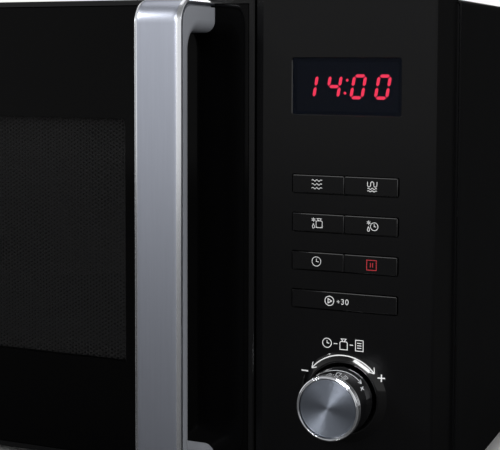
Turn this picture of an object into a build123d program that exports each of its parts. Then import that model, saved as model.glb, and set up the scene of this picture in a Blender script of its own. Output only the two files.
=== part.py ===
from build123d import *

import math
import os

# Countertop microwave oven, 20 to 23 litre class, with a side-hinged door, a full-height bar handle,
# a push-button and knob control panel, and a driven glass turntable. Millimetres, +Z up, -Y the front.
# The origin is the middle of the footprint, on the surface that the feet stand on.

# ---------------------------------------------------------------- driving dimensions

# Overall form
body_width = 483.0
body_depth = 357.0  # front face to the tips of the rear spacers
front_height = 270.0
foot_height = 11.0
front_depth = 41.0  # plastic front, from its face to the seam with the steel case
panel_width = 103.0
door_split = 1.5  # gap between the door and the control panel

# Sheet metal
sheet = 0.8
sheet_gap = 0.2  # slip between nested sheets
case_bend = 4.0
case_drop = 0.5  # case roof below the top of the plastic front
seam_gap = 0.5
flange = 10.0
spacer_depth = 5.0  # rear spacers that hold the oven off a wall
spacer_radius = 14.0

# Cooking cavity
cavity_left_margin = 27.5
cavity_door_margin = 36.0  # cavity wall to the free edge of the door
cavity_rear_margin = 10.0
floor_lift = 28.0
ceiling_drop = 28.0
well_depth = 3.0
well_margin = 36.0

# Turntable
plate_clearance = 16.0
plate_thickness = 4.5
plate_rim = 9.0
wheel_radius = 8.0
wheel_width = 6.0
wheel_inset = 38.0  # wheel centre inside the edge of the plate
axle_radius = 2.0
running_fit = 0.05
surface_gap = 0.3  # between curved faces of pieces that move on each other
coupler_radius = 9.0
motor_radius = 24.5
motor_height = 15.0
motor_shaft_radius = 3.5
coupler_hole_gap = 1.0
coupler_lift = 1.0
lug_gap = 1.0
lug_wall = 3.0
lug_height = 4.0
rim_run = 14.0
rim_step = 2.0
wheel_side_gap = 1.5
ring_width = 5.0
ring_height = 6.0
spoke_lap = 1.0
wheel_stop_wall = 1.2
wheel_stop_length = 1.5
ear_width = 10.0
ear_thickness = 1.5

# Door
door_back_gap = 1.2
door_wall = 3.0
door_web = 2.5
glass_rim = 3.0
glass_inset = 0.3
glass_thickness = 4.0
glass_edge = 0.4
screen_thickness = 0.6
screen_lap = 9.0
window_height = 141.5
window_left_margin = 55.5  # window edge to the hinged side of the door
window_right_margin = 81.0  # window edge to the free edge of the door
window_lift = 60.7  # window's lower edge above the bottom of the door
tunnel_margin = 4.0
choke_lap = 11.0  # choke beyond the cavity opening
choke_trough = 8.0
choke_depth = 14.0
finger_pitch = 18.0
finger_slot = 3.0
cover_thickness = 2.0
pane_thickness = 2.0

# Hinges
hinge_inset = 9.5  # hinge line from the side and from the back of the door
hinge_end = 5.0  # bracket's middle from the top or the bottom of the door
bracket_thickness = 2.0
bracket_half_width = 6.5
hinge_pin_radius = 2.5
hinge_pin_reach = 3.0
pocket_clearance = 0.6

# Handle
handle_width = 28.0
handle_proud = 43.0
handle_edge_inset = 23.8  # handle's side to the free edge of the door
handle_end_inset = 1.0
strap_thickness = 3.0
strap_bend = 13.5
strap_chamfer = 1.8
groove_width = 1.2
groove_depth = 2.5
bar_thickness = 14.0
return_height = 18.0
finger_fillet = 10.0
grip_rounding = 6.5  # edges of the finger space on both sides of the bar
handle_screw_radius = 2.0
handle_screw_head = 4.0
handle_screw_bite = 15.0
handle_screw_hole = 16.0  # depth of the hole in each leg

# Latch
hook_width = 6.0
hook_height = 8.0
hook_reach = 18.0  # beyond the face of the front frame
hook_nose = 5.0
hook_lift = 4.0
hook_edge_inset = 10.0
hook_spread = 140.0
hook_clearance = 1.6
carrier_depth = 9.0
bracket_wall = 2.0
switch_height = 16.0
switch_width = 9.0
switch_clearance = 1.0
switch_offset = 14.4
switch_body_half = 6.4
plunger_radius = 1.2
plunger_length = 1.6

# Control panel
panel_wall = 2.5
panel_side_bevel = 1.2
panel_inset = 2.0  # panel's side inside the side of the steel case
panel_crease_width = 4.0
panel_crease_depth = 0.7
display_width = 61.9
display_height = 31.2
display_corner = 1.5
display_drop = 48.0  # display's middle below the top of the panel
lens_recess = 0.7
lens_thickness = 1.3
lens_ledge = 2.4
fit_gap = 0.15
module_depth = 9.0
board_depth = 20.0  # front face of the control board behind the panel's face
board_thickness = 1.6
board_margin = 5.0
boss_radius = 3.5
boss_inset = 9.0
button_block_width = 59.2
button_height = 9.4
button_pitch = 20.9
button_top_drop = 100.6  # upper row's middle below the top of the panel
button_split = 0.4
button_gap = 0.7  # slot round each row of buttons
button_proud = 0.9
button_edge = 0.5
button_lip = 1.4
button_travel = 0.8
stem_radius = 2.0
press_gap = 0.1
lip_thickness = 1.2
header_thickness = 2.5
tact_width = 6.0
tact_height = 3.0
relay_height = 14.4
encoder_corner = 1.0

# Knob
knob_drop = 52.2  # knob's axis below the lowest row of buttons
knob_proud = 25.0
knob_face_radius = 15.5
disc_gap = 0.35
disc_edge = 0.3
rim_groove_radius = 16.4
rim_groove_width = 0.5
rim_groove_depth = 0.35
shaft_hole_gap = 1.0
knob_front_radius = 17.2
knob_base_radius = 18.6
knob_sink = 4.5
knob_bevel = 0.4
knob_face_recess = 0.5
knob_skin = 2.0
socket_depth = 12.0
face_disc_thickness = 1.5
cup_gap = 0.9
cup_wall = 1.6
cup_depth = 6.5
collar_width = 5.0
collar_height = 1.8
collar_crown = 0.8
encoder_shaft_radius = 3.0
encoder_width = 13.0
encoder_depth = 7.0
encoder_neck = 2.0
encoder_neck_wall = 1.5
encoder_end_gap = 1.0

# Component bay
waveguide_depth = 28.0
waveguide_width = 90.0
waveguide_height = 88.0
port_width = 70.0
port_height = 30.0
mica_lap = 12.0
mica_thickness = 0.5
magnetron_width = 78.0
magnetron_height = 58.0
magnetron_length = 50.0
yoke_thickness = 1.5
anode_radius = 19.0
antenna_radius = 8.0
antenna_reach = 18.0
fin_thickness = 0.8
fin_count = 5
transformer_length = 84.0
transformer_width = 62.0
transformer_height = 66.0
lamination_width = 15.0
coil_overhang = 12.0
capacitor_length = 96.0
capacitor_width = 50.0
capacitor_height = 32.0
fan_radius = 48.0
fan_tip_gap = 2.0
fan_depth = 18.0
hub_radius = 14.0
blade_count = 6
blade_thickness = 1.6
blade_angle = 32.0
duct_wall = 2.0
fan_shaft_radius = 2.0
filter_depth = 20.0
filter_margin = 3.0
choke_coil_size = (18.0, 16.0, 12.0)
filter_can_radius = 7.0
filter_can_length = 14.0
strut_width = 9.0
fan_plate_thickness = 2.0
stator_width = 46.0
stator_height = 52.0
stator_depth = 22.0
lamp_base_width = 35.0
lamp_base_thickness = 1.6
lamp_radius = 12.8
lamp_wall = 1.6
lamp_end = 4.0
lamp_taper = 6.0
lamp_bulb_radius = 8.0
lamp_bulb_length = 10.0
heater_radius = 3.25
heater_drop = 13.0
heater_bend = 20.0
clip_width = 10.0
clip_thickness = 1.5

# Feet, vents and screws
foot_top_radius = 15.0
foot_base_radius = 12.5
foot_inset = 46.0
slot_width = 3.0
slot_length = 24.0
slot_pitch = 8.0
screw_radius = 1.6
screw_head_radius = 4.0
screw_head_height = 2.0
screw_length = 8.0
screw_hole_gap = 0.1
recess_length = 4.6
recess_width = 1.0
recess_depth = 1.2
gland_radius = 9.0
gland_wall = 3.0

# ---------------------------------------------------------------- places that follow from them

left = -body_width / 2
right = body_width / 2
bottom = foot_height
top = foot_height + front_height
front = (handle_proud - body_depth) / 2
seam = front + front_depth
rear = front + body_depth
case_front = seam + seam_gap
case_rear = rear - spacer_depth
case_top = top - case_drop
inner_left = left + sheet + sheet_gap
inner_right = right - sheet - sheet_gap
inner_top = case_top - sheet - sheet_gap
rear_panel_face = case_rear - sheet
rear_panel_inner = rear_panel_face - sheet

panel_left = right - panel_width
panel_middle = (panel_left + right) / 2
door_right = panel_left - door_split
door_back = seam - door_back_gap

cavity_left = left + cavity_left_margin
cavity_right = door_right - cavity_door_margin
cavity_front = seam + sheet
cavity_back = rear_panel_inner - cavity_rear_margin
floor_level = bottom + floor_lift
ceiling_level = top - ceiling_drop
turntable_x = (cavity_left + cavity_right) / 2
turntable_y = (cavity_front + cavity_back) / 2
well_level = floor_level - well_depth
plate_radius = min(cavity_right - cavity_left, cavity_back - cavity_front) / 2 - plate_clearance
well_radius = plate_radius + plate_clearance - well_margin
wheel_path = plate_radius - wheel_inset
wheel_level = well_level + surface_gap + wheel_radius
plate_level = wheel_level + wheel_radius + surface_gap

window_right = door_right - window_right_margin
window_left = left + window_left_margin
window_bottom = bottom + window_lift
window_top = window_bottom + window_height
glass_front = front + glass_inset
glass_back = glass_front + glass_thickness
screen_back = glass_back + screen_thickness
web_back = screen_back + door_web

hinge_x = left + hinge_inset
hinge_y = door_back - hinge_inset
handle_right = door_right - handle_edge_inset
handle_left = handle_right - handle_width
handle_front = front - handle_proud
handle_bottom = bottom + handle_end_inset
handle_top = top - handle_end_inset
hook_x = door_right - hook_edge_inset
door_middle_z = (bottom + top) / 2
hook_levels = [door_middle_z - hook_spread / 2, door_middle_z + hook_spread / 2]
bracket_depth = hook_reach + switch_height + flange

display_z = top - display_drop
button_rows = [top - button_top_drop - button_pitch * row for row in range(4)]
knob_z = button_rows[-1] - knob_drop
board_front = front + board_depth
bay_left = cavity_right + sheet
bay_middle = (bay_left + inner_right) / 2
bay_floor = bottom + sheet

os.makedirs("parts", exist_ok=True)


# ---------------------------------------------------------------- shared operations


def facing(y):
    """Upright plane at depth y, seen from the front: sketches read x to the right and z up."""
    return Plane(origin=(0, y, 0), x_dir=(1, 0, 0), z_dir=(0, -1, 0))


def slab(x_span, y_span, z_span, mode=Mode.ADD):
    """Rectangular block between three pairs of limits."""
    middle = [(low + high) / 2 for low, high in (x_span, y_span, z_span)]
    size = [high - low for low, high in (x_span, y_span, z_span)]
    with Locations(tuple(middle)):
        Box(*size, mode=mode)


def area(first_span, second_span, corner=0.0, mode=Mode.ADD):
    """Rectangle between two pairs of limits in a sketch, with rounded corners where asked."""
    middle = [(low + high) / 2 for low, high in (first_span, second_span)]
    width, height = [high - low for low, high in (first_span, second_span)]
    with Locations(tuple(middle)):
        if corner > 0:
            RectangleRounded(width, height, corner, mode=mode)
        else:
            Rectangle(width, height, mode=mode)


def grow(span, amount):
    """The same pair of limits, moved outwards by an amount at both ends."""
    return (span[0] - amount, span[1] + amount)


def finish(builder, name):
    """Label a finished piece and write its file."""
    builder.part.label = name
    export_step(builder.part, f"parts/{name}.step")


cavity_x = (cavity_left, cavity_right)
cavity_y = (cavity_front, cavity_back)
cavity_z = (floor_level, ceiling_level)
window_x = (window_left, window_right)
window_z = (window_bottom, window_top)
door_x = (left, door_right)
front_z = (bottom, top)

# ---------------------------------------------------------------- cabinet

# Holding screws of the case: along the top of the rear flange and down both sides.
flange_line = sheet + flange / 2
screw_places = [(0.0, case_top - flange_line)]
for side in (left + flange_line, right - flange_line):
    screw_places.append((side, case_top - flange_line))
    screw_places.append((side, bottom + 4 * flange))
screw_hole_radius = screw_radius + screw_hole_gap

with BuildPart() as outer_case:
    with BuildSketch(facing(case_rear)):
        area((left, right), (bottom - flange, case_top), corner=case_bend)
        area(
            (left + sheet, right - sheet),
            (bottom - flange, case_top - sheet),
            corner=case_bend - sheet,
            mode=Mode.SUBTRACT,
        )
        area((left, right), (bottom - flange, bottom), mode=Mode.SUBTRACT)
    extrude(amount=case_rear - case_front)
    with BuildSketch(facing(case_rear)):
        area((left + sheet / 2, right - sheet / 2), (bottom, case_top - sheet / 2), corner=case_bend / 2)
        area(
            (left + sheet + flange, right - sheet - flange),
            (bottom, case_top - sheet - flange),
            mode=Mode.SUBTRACT,
        )
    extrude(amount=sheet)
    with Locations([(x, case_rear, z) for x, z in screw_places]):
        Cylinder(
            screw_hole_radius,
            4 * sheet,
            rotation=(90, 0, 0),
            mode=Mode.SUBTRACT,
        )
    vent_middle_y = (cavity_front + 2 * cavity_back) / 3
    with BuildSketch(Plane.YZ.offset(right)):
        with Locations((vent_middle_y, door_middle_z)):
            with GridLocations(slot_length * 1.4, slot_pitch, 2, 9):
                SlotOverall(slot_length, slot_width)
    extrude(amount=-body_width, mode=Mode.SUBTRACT)
finish(outer_case, "outer_case")

foot_x = right - foot_inset
foot_front_y = seam + foot_inset - foot_top_radius
foot_rear_y = case_rear - foot_inset + foot_top_radius
foot_places = [(x, y) for x in (-foot_x, foot_x) for y in (foot_front_y, foot_rear_y)]
base_y = (cavity_front, rear_panel_inner)

with BuildPart() as base_plate:
    slab((inner_left, inner_right), base_y, (bottom, bay_floor))
    for wall in (inner_left, inner_right - sheet):
        slab((wall, wall + sheet), base_y, (bottom, bay_floor + flange))
    with BuildSketch(Plane.XY.offset(bottom)):
        with Locations((turntable_x, turntable_y)):
            with GridLocations(slot_length * 1.5, slot_pitch * 1.5, 3, 5):
                SlotOverall(slot_length, slot_width)
    extrude(amount=sheet, mode=Mode.SUBTRACT)
finish(base_plate, "base_plate")

with BuildPart() as feet:
    with Locations([(x, y, foot_height / 2) for x, y in foot_places]):
        Cone(foot_base_radius, foot_top_radius, foot_height)
    fillet(feet.edges().filter_by(GeomType.CIRCLE).group_by(Axis.Z)[0], radius=1.5)
    with Locations([(x, y, 0) for x, y in foot_places]):
        Cylinder(
            foot_base_radius / 2,
            foot_height / 2,
            align=(Align.CENTER, Align.CENTER, Align.MIN),
            mode=Mode.SUBTRACT,
        )
finish(feet, "feet")

fan_x = bay_middle + (inner_right - bay_left) / 16
fan_z = door_middle_z + flange
spacer_places = [(cavity_left + 2 * flange, door_middle_z), (cavity_right - 2 * flange, door_middle_z)]
gland_x = inner_right - 2.5 * flange
gland_z = bay_floor + 4 * flange


def panel_outline():
    """Outline of a sheet that fills the case's section: square feet, rounded shoulders."""
    area((inner_left, inner_right), (bottom - flange, inner_top), corner=case_bend)
    area((inner_left, inner_right), (bottom - flange, bottom), mode=Mode.SUBTRACT)


with BuildPart() as rear_panel:
    with BuildSketch(facing(rear_panel_face)):
        panel_outline()
    extrude(amount=sheet)
    with Locations([(x, rear_panel_face, z) for x, z in spacer_places]):
        Cone(
            spacer_radius,
            spacer_radius - spacer_depth / 2,
            rear - rear_panel_face,
            rotation=(-90, 0, 0),
            align=(Align.CENTER, Align.CENTER, Align.MIN),
        )
    with Locations([(x, rear_panel_inner, z) for x, z in spacer_places]):
        Cylinder(
            spacer_radius - spacer_depth,
            spacer_depth,
            rotation=(-90, 0, 0),
            align=(Align.CENTER, Align.CENTER, Align.MIN),
            mode=Mode.SUBTRACT,
        )
    with BuildSketch(facing(rear_panel_face)):
        with Locations((fan_x, fan_z)):
            with GridLocations(slot_length * 1.3, slot_pitch, 3, 9):
                SlotOverall(slot_length, slot_width)
        with Locations((gland_x, gland_z)):
            Circle(gland_radius - gland_wall + fit_gap)
        with Locations(screw_places):
            Circle(screw_hole_radius)
    extrude(amount=sheet, mode=Mode.SUBTRACT)
finish(rear_panel, "rear_panel")

with BuildPart() as screws:
    with Locations([(x, case_rear, z) for x, z in screw_places]):
        Cylinder(
            screw_head_radius,
            screw_head_height,
            rotation=(-90, 0, 0),
            align=(Align.CENTER, Align.CENTER, Align.MIN),
        )
    chamfer(screws.edges().group_by(Axis.Y)[-1], length=screw_head_height / 3)
    with Locations([(x, case_rear + screw_head_height, z) for x, z in screw_places]):
        Box(recess_length, 2 * recess_depth, recess_width, mode=Mode.SUBTRACT)
        Box(recess_width, 2 * recess_depth, recess_length, mode=Mode.SUBTRACT)
    with Locations([(x, case_rear, z) for x, z in screw_places]):
        Cylinder(
            screw_radius,
            screw_length,
            rotation=(90, 0, 0),
            align=(Align.CENTER, Align.CENTER, Align.MIN),
        )
finish(screws, "case_screws")

with BuildPart() as cord_gland:
    with Locations((gland_x, rear_panel_face, gland_z)):
        Cylinder(
            gland_radius,
            spacer_depth - sheet,
            rotation=(-90, 0, 0),
            align=(Align.CENTER, Align.CENTER, Align.MIN),
        )
        Cylinder(
            gland_radius - gland_wall,
            3 * sheet,
            rotation=(90, 0, 0),
            align=(Align.CENTER, Align.CENTER, Align.MIN),
        )
        Cylinder(
            gland_radius - 2 * gland_wall + fit_gap,
            4 * spacer_depth,
            rotation=(90, 0, 0),
            mode=Mode.SUBTRACT,
        )
finish(cord_gland, "cord_gland")

# The front frame carries the cavity, the hinges, the latch slots and the control panel.
slot_half_width = hook_width / 2 + hook_clearance
bay_opening_x = (panel_left + 2 * flange, inner_right - flange)
bay_opening_z = (bottom + 2 * flange, inner_top - 2 * flange)

with BuildPart() as front_frame:
    with BuildSketch(facing(cavity_front)):
        panel_outline()
        area(cavity_x, cavity_z, mode=Mode.SUBTRACT)
        area(bay_opening_x, bay_opening_z, corner=flange, mode=Mode.SUBTRACT)
        for level in hook_levels:
            area(
                grow((hook_x, hook_x), slot_half_width),
                (level - hook_height / 2 - hook_nose - hook_clearance,
                 level + hook_height / 2 + hook_lift + hook_clearance),
                mode=Mode.SUBTRACT,
            )
    extrude(amount=sheet)
    slab(
        grow((inner_left, inner_right), -case_bend),
        (cavity_front - sheet, cavity_front + flange),
        (inner_top - sheet, inner_top),
    )
finish(front_frame, "front_frame")

# ---------------------------------------------------------------- hinges

bracket_levels = [bottom + hinge_end, top - hinge_end]

with BuildPart() as hinge_brackets:
    for level in bracket_levels:
        with BuildSketch(Plane.XY.offset(level - bracket_thickness / 2)):
            area(grow((hinge_x, hinge_x), bracket_half_width), (hinge_y, seam))
            with Locations((hinge_x, hinge_y)):
                Circle(bracket_half_width)
        extrude(amount=bracket_thickness)
        inward = 1 if level < door_middle_z else -1
        plate_z = sorted((level - inward * bracket_thickness / 2, level + inward * 2 * flange))
        tab_x = (hinge_x, cavity_left - flange / 2)
        slab(tab_x, (seam - bracket_thickness / 4, seam), plate_z)
        with Locations((hinge_x, hinge_y, level)):
            Cylinder(hinge_pin_radius, bracket_thickness + 2 * hinge_pin_reach)
finish(hinge_brackets, "hinge_brackets")

# ---------------------------------------------------------------- cavity

with BuildPart() as cavity_left_wall:
    slab((cavity_left - sheet, cavity_left), cavity_y, grow(cavity_z, sheet))
    with BuildSketch(Plane.YZ.offset(cavity_left)):
        with Locations((cavity_front + 4 * flange, ceiling_level - 4 * flange)):
            with GridLocations(slot_pitch, slot_pitch, 5, 4):
                Circle(slot_width / 2)
    extrude(amount=-sheet, mode=Mode.SUBTRACT)
finish(cavity_left_wall, "cavity_left_wall")

port_y = turntable_y
port_z = (floor_level + ceiling_level) / 2 + flange
lamp_y = cavity_back - 5 * flange
lamp_z = ceiling_level - 4 * flange

with BuildPart() as cavity_right_wall:
    slab((cavity_right, bay_left), cavity_y, grow(cavity_z, sheet))
    with BuildSketch(Plane.YZ.offset(cavity_right)):
        area(grow((port_y, port_y), port_width / 2), grow((port_z, port_z), port_height / 2))
        with Locations((lamp_y, lamp_z)):
            with GridLocations(slot_pitch, slot_pitch, 4, 4):
                Circle(slot_width / 2)
    extrude(amount=sheet, mode=Mode.SUBTRACT)
finish(cavity_right_wall, "cavity_right_wall")

# The heater is one sheathed rod: two hairpins in a level plane, with both ends turned up
# through the ceiling.
heater_level = ceiling_level - heater_drop
heater_step = (cavity_right - cavity_left) / 6
heater_front_y = cavity_front + 5 * flange
heater_rear_y = cavity_back - 5 * flange
heater_end_z = ceiling_level + flange
heater_columns = [turntable_x + heater_step * k for k in (-1.5, -0.5, 0.5, 1.5)]
heater_route = [
    (heater_columns[0], heater_rear_y, heater_end_z),
    (heater_columns[0], heater_rear_y, heater_level),
    (heater_columns[0], heater_front_y, heater_level),
    (heater_columns[1], heater_front_y, heater_level),
    (heater_columns[1], heater_rear_y, heater_level),
    (heater_columns[2], heater_rear_y, heater_level),
    (heater_columns[2], heater_front_y, heater_level),
    (heater_columns[3], heater_front_y, heater_level),
    (heater_columns[3], heater_rear_y, heater_level),
    (heater_columns[3], heater_rear_y, heater_end_z),
]
heater_end_bend = 2.5 * heater_radius
heater_bends = [heater_end_bend] + [heater_bend] * 6 + [heater_end_bend]
clip_places = [(x, turntable_y) for x in heater_columns]

with BuildPart() as grill_element:
    with BuildLine() as heater_line:
        FilletPolyline(*heater_route, radius=heater_bends)
    with BuildSketch(Plane.XY.offset(heater_end_z)):
        with Locations((heater_columns[0], heater_rear_y)):
            Circle(heater_radius)
    sweep(path=heater_line.line)
finish(grill_element, "grill_element")

with BuildPart() as cavity_ceiling:
    slab(cavity_x, cavity_y, (ceiling_level, ceiling_level + sheet))
    with BuildSketch(Plane.XY.offset(ceiling_level)):
        with Locations((heater_columns[0], heater_rear_y), (heater_columns[3], heater_rear_y)):
            Circle(heater_radius + surface_gap)
    extrude(amount=sheet, mode=Mode.SUBTRACT)
    for x, y in clip_places:
        clip_z = (heater_level - 2 * heater_radius, ceiling_level)
        slab(grow((x, x), clip_width / 2), grow((y, y), clip_thickness / 2), clip_z)
        with Locations((x, y, heater_level)):
            Cylinder(
                heater_radius + running_fit,
                2 * clip_thickness,
                rotation=(90, 0, 0),
                mode=Mode.SUBTRACT,
            )
finish(cavity_ceiling, "cavity_ceiling")

coupler_hole = coupler_radius + surface_gap + coupler_hole_gap
well_slope = well_depth

with BuildPart() as cavity_floor:
    slab(cavity_x, cavity_y, (floor_level - sheet, floor_level))
    with Locations((turntable_x, turntable_y, floor_level - sheet / 2)):
        Cylinder(well_radius, sheet, mode=Mode.SUBTRACT)
    with BuildSketch(Plane(origin=(turntable_x, turntable_y, 0), x_dir=(1, 0, 0), z_dir=(0, -1, 0))):
        with BuildLine():
            Polyline(
                (coupler_hole, well_level),
                (well_radius - well_slope, well_level),
                (well_radius, floor_level),
                (well_radius, floor_level - sheet),
                (well_radius - well_slope, well_level - sheet),
                (coupler_hole, well_level - sheet),
                close=True,
            )
        make_face()
    revolve(axis=Axis((turntable_x, turntable_y, 0), (0, 0, 1)))
finish(cavity_floor, "cavity_floor")

with BuildPart() as cavity_back_wall:
    slab(grow(cavity_x, sheet), (cavity_back, cavity_back + sheet), grow(cavity_z, sheet))
finish(cavity_back_wall, "cavity_back_wall")

# ---------------------------------------------------------------- turntable and its drive

motor_top = well_level - sheet
motor_bottom = motor_top - motor_height

with BuildPart() as turntable_motor:
    with Locations((turntable_x, turntable_y, (motor_top + motor_bottom) / 2)):
        Cylinder(motor_radius, motor_height)
    with BuildSketch(Plane.XY.offset(motor_top)):
        with Locations((turntable_x, turntable_y)):
            SlotCenterToCenter(2 * motor_radius + ear_width, ear_width)
    extrude(amount=-ear_thickness)
    with Locations((turntable_x, turntable_y, motor_top)):
        Cylinder(
            motor_shaft_radius + running_fit,
            motor_height - 2 * sheet,
            align=(Align.CENTER, Align.CENTER, Align.MAX),
            mode=Mode.SUBTRACT,
        )
finish(turntable_motor, "turntable_motor")

lobe_radius = coupler_radius / 3
with BuildPart() as coupler:
    with Locations((turntable_x, turntable_y, motor_bottom + 3 * sheet)):
        Cylinder(
            motor_shaft_radius,
            well_level + coupler_lift - motor_bottom - 3 * sheet,
            align=(Align.CENTER, Align.CENTER, Align.MIN),
        )
    with BuildSketch(Plane.XY.offset(well_level + coupler_lift)):
        with Locations((turntable_x, turntable_y)):
            Circle(coupler_radius - lobe_radius)
            with PolarLocations(coupler_radius - lobe_radius, 3):
                Circle(lobe_radius)
    extrude(amount=plate_level - well_level - coupler_lift)
finish(coupler, "coupler")

# Glass plate: flat in the middle with a raised rim, and a ring of lugs that the coupler turns.
lug_inner = coupler_radius + lug_gap
with BuildPart() as turntable_plate:
    with BuildSketch(Plane(origin=(turntable_x, turntable_y, 0), x_dir=(1, 0, 0), z_dir=(0, -1, 0))):
        with BuildLine():
            plate_top = plate_level + plate_thickness
            Line((0, plate_level), (plate_radius - rim_run, plate_level))
            Line((plate_radius - rim_run, plate_level), (plate_radius, plate_level + plate_rim))
            RadiusArc(
                (plate_radius, plate_level + plate_rim),
                (plate_radius - plate_thickness, plate_top + plate_rim - rim_step),
                plate_thickness,
                short_sagitta=True,
            )
            Line(
                (plate_radius - plate_thickness, plate_top + plate_rim - rim_step),
                (plate_radius - rim_run - rim_step, plate_top),
            )
            Line((plate_radius - rim_run - rim_step, plate_top), (0, plate_top))
            Line((0, plate_top), (0, plate_level))
        make_face()
    revolve(axis=Axis((turntable_x, turntable_y, 0), (0, 0, 1)))
    with BuildSketch(Plane.XY.offset(plate_level)):
        with Locations((turntable_x, turntable_y)):
            Circle(lug_inner + lug_wall)
            Circle(lug_inner, mode=Mode.SUBTRACT)
    extrude(amount=-lug_height)
finish(turntable_plate, "turntable_plate")

wheel_inner = wheel_path - wheel_width / 2
wheel_outer = wheel_path + wheel_width / 2
ring_outer = wheel_inner - wheel_side_gap
wheel_angles = [90, 210, 330]


def radial_plane(angle, radius):
    """Upright plane square to the wheel's axle, at a distance from the turntable's axis."""
    outward = (math.cos(math.radians(angle)), math.sin(math.radians(angle)), 0)
    origin = (turntable_x + radius * outward[0], turntable_y + radius * outward[1], wheel_level)
    return Plane(origin=origin, x_dir=(-outward[1], outward[0], 0), z_dir=outward)


with BuildPart() as roller_ring:
    with BuildSketch(Plane.XY.offset(wheel_level - ring_height / 2)):
        with Locations((turntable_x, turntable_y)):
            Circle(ring_outer)
            Circle(ring_outer - ring_width, mode=Mode.SUBTRACT)
    extrude(amount=ring_height)
    for angle in wheel_angles:
        with BuildSketch(radial_plane(angle, ring_outer - spoke_lap)):
            Circle(axle_radius)
        extrude(amount=wheel_outer - ring_outer + 2 * spoke_lap)
        with BuildSketch(radial_plane(angle, wheel_outer + surface_gap)):
            Circle(axle_radius + wheel_stop_wall)
        extrude(amount=wheel_stop_length)
finish(roller_ring, "roller_ring")

for number, angle in enumerate(wheel_angles, start=1):
    with BuildPart() as roller:
        with BuildSketch(radial_plane(angle, wheel_inner)):
            Circle(wheel_radius)
            Circle(axle_radius + running_fit, mode=Mode.SUBTRACT)
        extrude(amount=wheel_width)
        chamfer(
            roller.edges().filter_by(GeomType.CIRCLE).filter_by(lambda edge: edge.radius > axle_radius + 1),
            length=0.6,
        )
    finish(roller, f"roller_{number}")

# ---------------------------------------------------------------- component bay

waveguide_y = grow((port_y, port_y), waveguide_width / 2)
waveguide_z = (port_z - port_height / 2 - flange, port_z - port_height / 2 - flange + waveguide_height)
waveguide_x = (bay_left, bay_left + waveguide_depth)
magnetron_y = port_y
magnetron_z = waveguide_z[1] - magnetron_height / 2 - flange / 2

with BuildPart() as waveguide:
    slab(waveguide_x, waveguide_y, waveguide_z)
    slab(
        (waveguide_x[0], waveguide_x[1] - sheet),
        grow(waveguide_y, -sheet),
        grow(waveguide_z, -sheet),
        mode=Mode.SUBTRACT,
    )
    with BuildSketch(Plane.YZ.offset(waveguide_x[1])):
        with Locations((magnetron_y, magnetron_z)):
            Circle(antenna_radius + 3 * sheet)
    extrude(amount=-sheet, mode=Mode.SUBTRACT)
finish(waveguide, "waveguide")

with BuildPart() as waveguide_cover:
    with BuildSketch(Plane.YZ.offset(cavity_right)):
        area(
            grow((port_y, port_y), port_width / 2 + mica_lap),
            grow((port_z, port_z), port_height / 2 + mica_lap),
            corner=mica_lap / 2,
        )
    extrude(amount=-mica_thickness)
finish(waveguide_cover, "waveguide_cover")

yoke_x = (waveguide_x[1], waveguide_x[1] + magnetron_length)
yoke_y = grow((magnetron_y, magnetron_y), magnetron_width / 2)
yoke_z = grow((magnetron_z, magnetron_z), magnetron_height / 2)

with BuildPart() as magnetron_yoke:
    slab(yoke_x, yoke_y, yoke_z)
    slab(
        grow(yoke_x, -yoke_thickness),
        yoke_y,
        grow(yoke_z, -yoke_thickness),
        mode=Mode.SUBTRACT,
    )
    slab((yoke_x[1], yoke_x[1] + filter_depth), grow(yoke_y, -flange), grow(yoke_z, -flange / 4))
    with BuildSketch(Plane.YZ.offset(yoke_x[0])):
        with Locations((magnetron_y, magnetron_z)):
            Circle(antenna_radius + sheet)
    extrude(amount=yoke_thickness, mode=Mode.SUBTRACT)
finish(magnetron_yoke, "magnetron_yoke")

fin_pitch = (magnetron_length - 2 * yoke_thickness) / (fin_count + 1)
with BuildPart() as magnetron_core:
    with BuildSketch(Plane.YZ.offset(yoke_x[0] + yoke_thickness)):
        with Locations((magnetron_y, magnetron_z)):
            Circle(anode_radius)
    extrude(amount=magnetron_length - 2 * yoke_thickness)
    for number in range(1, fin_count + 1):
        fin_x = yoke_x[0] + yoke_thickness + number * fin_pitch
        slab(
            grow((fin_x, fin_x), fin_thickness / 2),
            grow(yoke_y, -sheet),
            grow(yoke_z, -yoke_thickness),
        )
    with BuildSketch(Plane.YZ.offset(yoke_x[0] + yoke_thickness)):
        with Locations((magnetron_y, magnetron_z)):
            Circle(antenna_radius)
    extrude(amount=-antenna_reach)
    fillet(magnetron_core.edges().group_by(Axis.X)[0], radius=antenna_radius / 2)
finish(magnetron_core, "magnetron_core")

# Transformer: a stack of laminations around two windings, on the base plate.
transformer_x = grow((bay_middle, bay_middle), transformer_width / 2)
transformer_front = cavity_front + bracket_depth + flange
transformer_y = (transformer_front, transformer_front + transformer_length)
transformer_z = (bay_floor, bay_floor + transformer_height)
coil_window = (transformer_length - 3 * lamination_width) / 2

with BuildPart() as transformer_core:
    slab(transformer_x, transformer_y, transformer_z)
    for number in range(2):
        start = transformer_y[0] + lamination_width + number * (coil_window + lamination_width)
        slab(
            transformer_x,
            (start, start + coil_window),
            grow(transformer_z, -lamination_width),
            mode=Mode.SUBTRACT,
        )
finish(transformer_core, "transformer_core")

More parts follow.
